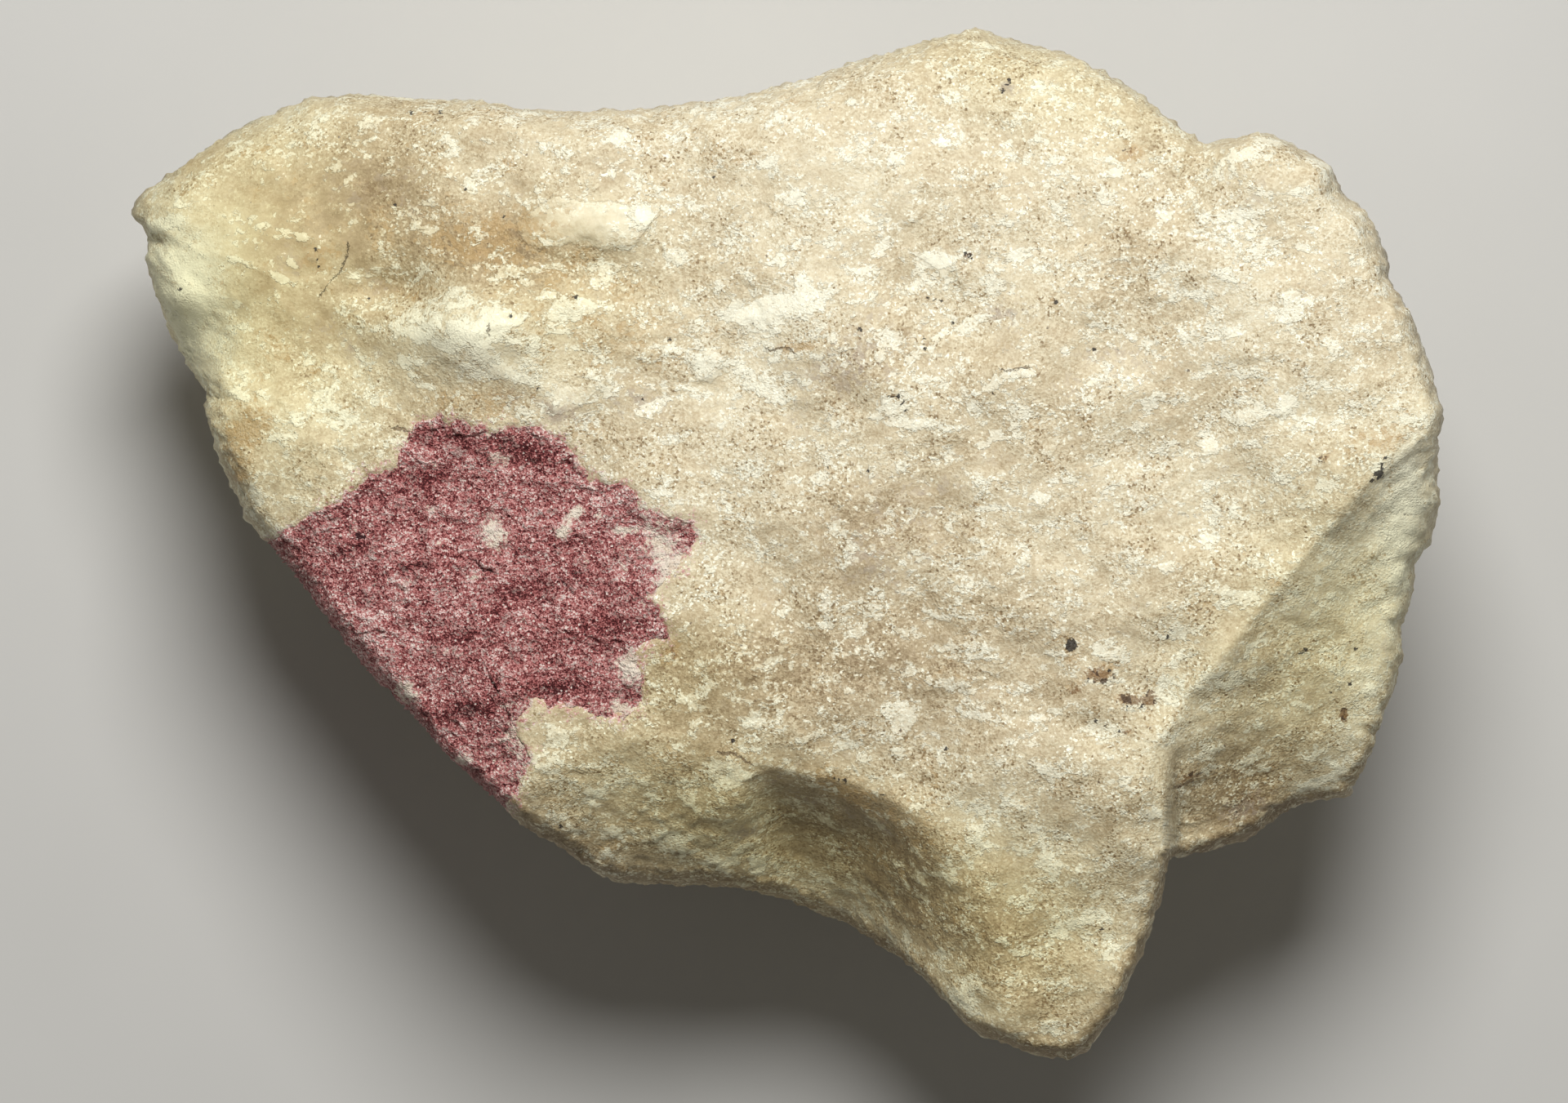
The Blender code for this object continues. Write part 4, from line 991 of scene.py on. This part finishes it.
# How far the red goes: grains of either mineral stray over the border, so the share follows noise as well
SHARE_EDGE = (-0.6, 0.6)
red_share, wanted, given = new_group("red_share", ["Depth", "Pale"], Share="Float")
place = millimetres(red_share)
coarse = cloud(red_share, place, scale=0.9, detail=4, roughness=0.65)
fine = cloud(red_share, place, scale=3.5, detail=3, roughness=0.7)
value = gather(red_share, wanted["Depth"], (coarse, 4.0), (fine, 6.0))
value = add_up(red_share, value, (wanted["Pale"], -2.7))
give(red_share, given, Share=rescale(red_share, value, *SHARE_EDGE))

# Dark grains and cracks of both minerals: how far a point is inside the nearest one's edge, which a fine
# noise makes ragged. The noise is given out too, for other small marks.
DARK_MARKS = ["speck_x", "speck_y", "speck_radius", "crack_side", "crack_width"]
SPECK_EDGE = (-0.01, 0.05)
CRACK_EDGE = (0.0, 0.05)
dark_marks, wanted, given = new_group("dark_marks", [*DARK_MARKS, "waver"],
                                      Speck="Float", Crack="Float", Dots="Float")
dots = cloud(dark_marks, millimetres(dark_marks), scale=3.2, detail=4, roughness=0.75)
away = put(dark_marks, "ShaderNodeCombineXYZ", {0: wanted["speck_x"], 1: wanted["speck_y"]}).outputs[0]
distance = put(dark_marks, "ShaderNodeVectorMath", {0: away}, operation="LENGTH").outputs["Value"]
in_speck = gather(dark_marks, calc(dark_marks, "SUBTRACT", wanted["speck_radius"], distance), (dots, 1.1))
crack_gap = calc(dark_marks, "ABSOLUTE", gather(dark_marks, wanted["crack_side"], (dots, wanted["waver"])))
in_crack = calc(dark_marks, "SUBTRACT", wanted["crack_width"], crack_gap)
give(dark_marks, given, Speck=rescale(dark_marks, in_speck, *SPECK_EDGE),
     Crack=rescale(dark_marks, in_crack, *CRACK_EDGE), Dots=dots)


def read(tree, name):
    """The number kept for each point under a name."""
    return put(tree, "ShaderNodeAttribute", attribute_name=name).outputs["Fac"]


def new_material(name):
    """A new material with nodes, its tree and its shader."""
    material = bpy.data.materials.new(name)
    material.use_nodes = True
    return material, material.node_tree, material.node_tree.nodes["Principled BSDF"]


def use_dark_marks(tree, waver):
    """Place the group of dark grains and cracks in a material, with what each point keeps for it."""
    return use(tree, dark_marks, {"waver": waver} | {name: read(tree, name) for name in DARK_MARKS})


def add_bump(tree, shader, height):
    """Shade a surface as if it stood out by a height in millimetres."""
    bump = put(tree, "ShaderNodeBump", {"Height": height, "Distance": MM, "Strength": 1.0})
    tree.links.new(bump.outputs["Normal"], shader.inputs["Normal"])


PLATE_EDGE = (-0.04, 0.05)
# Painted shadow: a thin brown line just outside each raised plate's edge, all round it
PLATE_SHADOW_EDGE = (-0.16, -0.08)
PLATE_SHADOW_BROWN = (0.33, 0.23, 0.12)
RUST_EDGE = (0.78, 0.88)
RUST_GRAINS_EDGE = (1.3, 1.45)
DUST_EDGE = (0.82, 1.15, 0.0, 0.17)
RUST_BROWN = (0.22, 0.11, 0.034)
DARK_RUST = (0.05, 0.025, 0.012)
CRACK_BROWN = (0.19, 0.115, 0.055)
DUST_BROWN = (0.13, 0.09, 0.06)
SPECK_BLACK = (0.028, 0.022, 0.02)
ROCK_ROUGHNESS = (0.62, 0.3)    # of plain rock, and of its glints
matrix_finish, tree, shader = new_material("matrix_rock")
place = millimetres(tree)
marks = use_dark_marks(tree, waver=0.9)
dots = marks["Dots"]
plate_depth = gather(tree, read(tree, "flake"), (dots, 0.9))
plate = rescale(tree, plate_depth, *PLATE_EDGE)
# The next line finds that thin line of painted shadow round each plate
plate_shadow = calc(tree, "SUBTRACT", rescale(tree, plate_depth, *PLATE_SHADOW_EDGE), plate)
rust_zone = read(tree, "rust")
rock = use(tree, pale_rock, {
    "Tone": add_up(tree, read(tree, "tone"), (plate, 0.16)), "White": read(tree, "white"),
    "Tan": add_up(tree, read(tree, "tan"), (rust_zone, 0.5)), "Grey": read(tree, "grey"),
    "Cream": read(tree, "cream"),
    "Calm": calc(tree, "MAXIMUM", read(tree, "calm"), calc(tree, "MULTIPLY", plate, 0.4)),
})
ore = use(tree, red_ore, {"Tone": 0.05})
share = use(tree, red_share, {"Depth": read(tree, "red"), "Pale": 0.12})["Share"]
rust_pick, _ = crystals(tree, place, scale=2.6)
rust = rescale(tree, add_up(tree, dots, (rust_zone, 0.45)), *RUST_EDGE)
rust_grains = rescale(tree, gather(tree, rust_zone, (rust_pick, 2.0), (dots, 2.0)), *RUST_GRAINS_EDGE)
dust_pick, dust_distance = crystals(tree, place, scale=1.0)
dust_size = rescale(tree, gather(tree, dust_pick, (dots, 0.8)), *DUST_EDGE)
dust = calc(tree, "LESS_THAN", dust_distance, dust_size)
colour = blend(tree, calc(tree, "MULTIPLY", plate_shadow, 0.12), rock["Color"], PLATE_SHADOW_BROWN)
colour = blend(tree, share, colour, ore["Color"])
for mark, strength, stain in (
    (rust, 0.8, RUST_BROWN), (rust_grains, 0.8, DARK_RUST), (marks["Crack"], 0.7, CRACK_BROWN),
    (dust, 0.75, DUST_BROWN), (marks["Speck"], 0.93, SPECK_BLACK),
):
    colour = blend(tree, calc(tree, "MULTIPLY", mark, strength), colour, stain)
tree.links.new(colour, shader.inputs["Base Color"])
tree.links.new(rescale(tree, rock["Gloss"], 0, 1, *ROCK_ROUGHNESS), shader.inputs["Roughness"])
bump_height = add_up(tree, rock["Height"], (plate, 0.03), (marks["Crack"], -0.15), (marks["Speck"], -0.08))
add_bump(tree, shader, bump_height)
matrix_mesh.materials.append(matrix_finish)
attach(matrix, "root")
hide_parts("matrix")

# Red ore: a crumbly mass of cinnabar grains that fills the pocket in the upper face and shows on the side.
# It grew in the rock, so the two interlock. Its skin is the stone's own, a little sunk, over a rounded plug.

RED_MIDDLE = (-27.0, -4.0)
RED_CELLS = 260
RED_OVERLAP = 0.4
RED_GRAINS = [(1.3, 0.15), (0.6, 0.12), (0.33, 0.08)]
RED_LEDGE_TURN = -6
RED_LEDGES = [(1.5, 0.2), (0.7, 0.14)]         # spacing and height
PALES = [
    ((-23.3, 0.9), 1.4, 1.8, 0, 1.1), ((-9.9, -0.4), 1.6, 2.0, 10, 1.05),
    ((-12.8, -9.8), 1.5, 1.2, 0, 0.88), ((-13.3, -12.8), 1.2, 0.9, 20, 0.81),
    ((-30.5, -11.8), 1.2, 1.4, 40, 0.95), ((-16.5, 2.68), 0.8, 0.5, 20, 1.1),
    ((-17.3, 1.75), 0.6, 1.3, -35, 0.86), ((-18.0, 0.9), 0.7, 0.4, 0, 0.96),
    ((-12.6, 1.17), 1.5, 0.4, 3, 0.88), ((-14.9, 2.32), 0.45, 0.5, 0, 0.88),
    ((-13.1, -1.0), 0.7, 2.6, 5, 0.5), ((-22.9, 6.79), 1.1, 0.9, -20, 0.88),
    ((-28.1, 6.5), 0.4, 0.5, 0, 0.81), ((-28.5, 2.83), 0.7, 0.5, -30, 0.74),
    ((-27.6, 0.2), 0.45, 0.45, 0, 0.74), ((-24.9, -2.6), 1.0, 0.4, 15, 0.81),
    ((-30.5, -3.3), 0.8, 0.5, 20, 0.74), ((-32.7, -3.1), 0.6, 0.4, 0, 0.74),
    ((-22.5, -17.0), 2.4, 2.6, 0, 0.5), ((-9.0, -3.0), 1.4, 1.4, 0, 0.5),
    ((-16.2, -1.8), 2.2, 0.7, 60, 0.4), ((-34.5, 1.46), 1.0, 0.6, 40, 0.7),
    ((-20.3, -6.0), 1.6, 0.6, 10, 0.4), ((-26.5, -8.6), 2.0, 0.6, -5, 0.5),
    ((-22.0, -12.9), 1.4, 0.5, 10, 0.5), ((-26.0, -17.4), 0.9, 1.2, -40, 0.8),
    ((-19.8, 2.54), 1.0, 0.5, 0, 0.4),
]
DARKS = [
    ((-18.3, -11.6), 2.2, 0.6, 5, -0.30), ((-25.8, -13.2), 2.6, 0.7, 10, -0.30),
    ((-26.1, -7.3), 2.0, 0.5, 5, -0.22), ((-29.0, 5.2), 3.0, 0.8, 10, -0.16),
    ((-20.0, 7.2), 4.4, 1.0, -15, -0.20), ((-34.0, -3.0), 2.5, 1.0, -40, -0.06),
    ((-21.0, -3.6), 2.6, 0.9, 10, -0.22), ((-15.4, -7.0), 3.0, 1.2, 5, -0.20),
    ((-27.5, 8.6), 2.4, 0.6, 0, -0.18), ((-34.4, -0.2), 1.6, 0.4, 20, -0.2),
    ((-30.0, -1.8), 1.6, 0.4, 5, -0.25), ((-22.6, -15.6), 3.0, 3.0, 0, -0.06),
    ((-33.0, -8.0), 4.0, 3.0, -50, 0.10), ((-13.0, 3.2), 3.0, 1.6, -20, 0.06),
]
RED_CRACKS = [
    ([(-25.5, -0.9), (-24.9, -1.3), (-24.2, -2.1), (-23.6, -2.1), (-23.0, -2.4)], 0.1),
    ([(-30.0, -1.7), (-29.2, -1.7), (-28.2, -2.0)], 0.06),
    ([(-18.4, -2.4), (-17.6, -3.2), (-16.7, -4.2)], 0.07),
]
RED_PITS = [((-34.2, 0.7), 0.26), ((-33.8, 0.55), 0.22), ((-23.3, 8.9), 0.2), ((-30.8, 8.9), 0.3)]
PALE_HEIGHT = 0.06
CRACK_DEPTH = 0.2
CRACK_SPREAD = 1.6              # how many times as wide as its line a crack's groove is
CRACK_WALL = (-0.1, 0.1)
RED_TUCK = 0.3                  # how much deeper the skin lies outside the border, where the rock covers it
RED_TUCK_EDGE = (-0.4, 0.3)
RED_LEAST = 0.1                 # thickness at and outside the border
RED_KEPT = 1.5                  # the share of red grows no further in than this, so rock strays in all over
DARK_STRENGTH = 1.7
# Painted light and shade: grains that stand out are painted lighter, and the hollows between them darker
RELIEF_LIGHT_AND_SHADE = 0.9               # how much lighter a grain is for each millimetre that it stands out
MEAN_RELIEF = 0.1


def red_plan(cells):
    """Plan points of a square grid fitted to the ore's border, a little outside it."""
    ring, angle = square_grid(cells)
    reach = (border_radius(angle, PATCH, RED_MIDDLE) + RED_OVERLAP) * ring
    return plan_at(angle, reach, RED_MIDDLE)


def on_stone(x, y):
    """Places on the bare lump for plan points, and how far they lie inside the outline.

    They are on the upper skin inside the outline, and on the side outside it.
    """
    away_x, away_y = x - CENTRE[0], y - CENTRE[1]
    angle = np.arctan2(away_y, away_x)
    inward = border_radius(angle, OUTLINE, CENTRE) - np.hypot(away_x, away_y)
    top = stone_place(angle, np.maximum(inward, 0), True)
    side = stone_place(angle, np.maximum(-inward, 0) * SIDE_TUCK, False)
    return np.where((inward >= 0)[:, None], top, side), inward


triangles, used = two_skin_triangles(RED_CELLS)
skin_plan = red_plan(RED_CELLS)
floor_plan = [values[used] for values in red_plan(RED_CELLS // 2)]
plan_x, plan_y = np.concatenate([skin_plan, floor_plan], axis=1)
bare, inward = on_stone(plan_x, plan_y)
is_skin = np.arange(len(bare)) < len(skin_plan[0])
on_face = step(inward, *MARK_FADE)
inside = red_depth(plan_x, plan_y)
pales = spots_at(plan_x, plan_y, PALES) * on_face
darks = spots_at(plan_x, plan_y, DARKS) * on_face
cracks = nearest_crack(plan_x, plan_y, RED_CRACKS)
groove = step(CRACK_SPREAD * cracks["crack_width"] - np.abs(cracks["crack_side"]), *CRACK_WALL)
grains = noise_sum(bare, RED_GRAINS, apart=2)
grains += sum(height * ledges_at(bare, RED_LEDGE_TURN, spacing) for spacing, height in RED_LEDGES)
cinnabar_mesh = new_mesh("cinnabar_mass", bare, triangles)
height = grains + PALE_HEIGHT * np.minimum(pales, 1) - CRACK_DEPTH * groove
places = push_out(cinnabar_mesh, bare, np.where(is_skin, height, 0))
skin_depth = RED_SINK + RED_TUCK * (1 - step(inside, *RED_TUCK_EDGE))
floor_depth = skin_depth + bowl(inside) + RED_LEAST
move_points(cinnabar_mesh, sunk(places, np.where(is_skin, skin_depth, floor_depth)))
# The dark value carries that painted light and shade of the grains as well as the dark marks
paint(cinnabar_mesh, red=np.clip(inside, -RED_REACH, RED_KEPT), pale=pales,
      dark=DARK_STRENGTH * darks + RELIEF_LIGHT_AND_SHADE * (grains - MEAN_RELIEF))
paint(cinnabar_mesh, **nearest_speck(plan_x, plan_y, RED_PITS), **cracks)
cinnabar = add_object("cinnabar_mass", cinnabar_mesh)

ROCK_PINK = (0.78, 0.60, 0.55)
PINK_STRENGTH = 0.45
RED_BLACK = (0.045, 0.012, 0.014)
RED_ROUGHNESS = 0.85
RED_SPECULAR = 0.35
cinnabar_finish, tree, shader = new_material("cinnabar_red")
marks = use_dark_marks(tree, waver=0.8)
rock = use(tree, pale_rock, {"Tone": 0.22, "White": 0.7, "Tan": 0.0, "Grey": 0.1, "Cream": 0.0, "Calm": 0.0})
ore = use(tree, red_ore, {"Tone": read(tree, "dark")})
share_sockets = {"Depth": calc(tree, "ADD", read(tree, "red"), 0.5), "Pale": read(tree, "pale")}
share = use(tree, red_share, share_sockets)["Share"]
pink_rock = blend(tree, PINK_STRENGTH, rock["Color"], ROCK_PINK)
colour = blend(tree, share, pink_rock, ore["Color"])
colour = blend(tree, calc(tree, "MAXIMUM", marks["Speck"], marks["Crack"]), colour, RED_BLACK)
tree.links.new(colour, shader.inputs["Base Color"])
shader.inputs["Roughness"].default_value = RED_ROUGHNESS
shader.inputs["Specular IOR Level"].default_value = RED_SPECULAR
add_bump(tree, shader, ore["Height"])
cinnabar_mesh.materials.append(cinnabar_finish)
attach(cinnabar, "root")
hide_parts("cinnabar")

# Studio, in metres: a pale matt floor, a soft lamp high beyond the stone's far edge, and a pale sky that
# fills the shade. The camera looks straight down with a long lens, from the height where the leaning sides
# would meet, so the rim shows at one scale whatever its height.

FLOOR_HALF = 1.5
FLOOR_SINK = 0.00005
FLOOR_SHADES = [(0.0, (0.56, 0.56, 0.55)), (1.0, (0.60, 0.60, 0.59))]
FLOOR_ROUGHNESS = 0.9
corners = [(x * FLOOR_HALF, y * FLOOR_HALF, -FLOOR_SINK) for x, y in ((-1, -1), (1, -1), (1, 1), (-1, 1))]
floor_mesh = bpy.data.meshes.new("floor")
floor_mesh.from_pydata(corners, [], [(0, 1, 2, 3)])
floor = add_object("floor", floor_mesh)
floor_finish, tree, shader = new_material("floor")
mottle = cloud(tree, put(tree, "ShaderNodeTexCoord").outputs["Object"], scale=40.0, detail=3, roughness=0.5)
tree.links.new(shades(tree, mottle, FLOOR_SHADES), shader.inputs["Base Color"])
shader.inputs["Roughness"].default_value = FLOOR_ROUGHNESS
floor_mesh.materials.append(floor_finish)

LAMP_PLACE = (0.02, 0.24, 0.42)
LAMP_AIM = (0.0, 0.0, 0.03)
LAMP_WIDTH = 0.22
LAMP_POWER = 2.4
LAMP_COLOUR = (1.0, 0.985, 0.95)
lamp_light = bpy.data.lights.new("key", "AREA")
lamp_light.shape = "DISK"
lamp_light.size = LAMP_WIDTH
lamp_light.energy = LAMP_POWER
lamp_light.color = LAMP_COLOUR
lamp = add_object("key", lamp_light)
lamp.location = LAMP_PLACE
lamp.rotation_euler = (Vector(LAMP_PLACE) - Vector(LAMP_AIM)).to_track_quat("Z", "Y").to_euler()

SKY_COLOUR = (1.0, 0.95, 0.86, 1.0)
SKY_STRENGTH = 0.12
sky = bpy.data.worlds.new("sky")
sky.use_nodes = True
sky.node_tree.nodes["Background"].inputs["Color"].default_value = SKY_COLOUR
sky.node_tree.nodes["Background"].inputs["Strength"].default_value = SKY_STRENGTH
bpy.context.scene.world = sky

LENS = 200.0
SENSOR = 36.0
CAMERA_PLACE = (0.34, -0.49, LEAN_LEVEL + 1 / LEAN)         # in millimetres
camera_data = bpy.data.cameras.new("camera")
camera_data.lens = LENS
camera_data.sensor_width = SENSOR
camera = add_object("camera", camera_data)
camera.location = Vector(CAMERA_PLACE) * MM
bpy.context.scene.camera = camera
bpy.context.scene.view_settings.view_transform = "Standard"
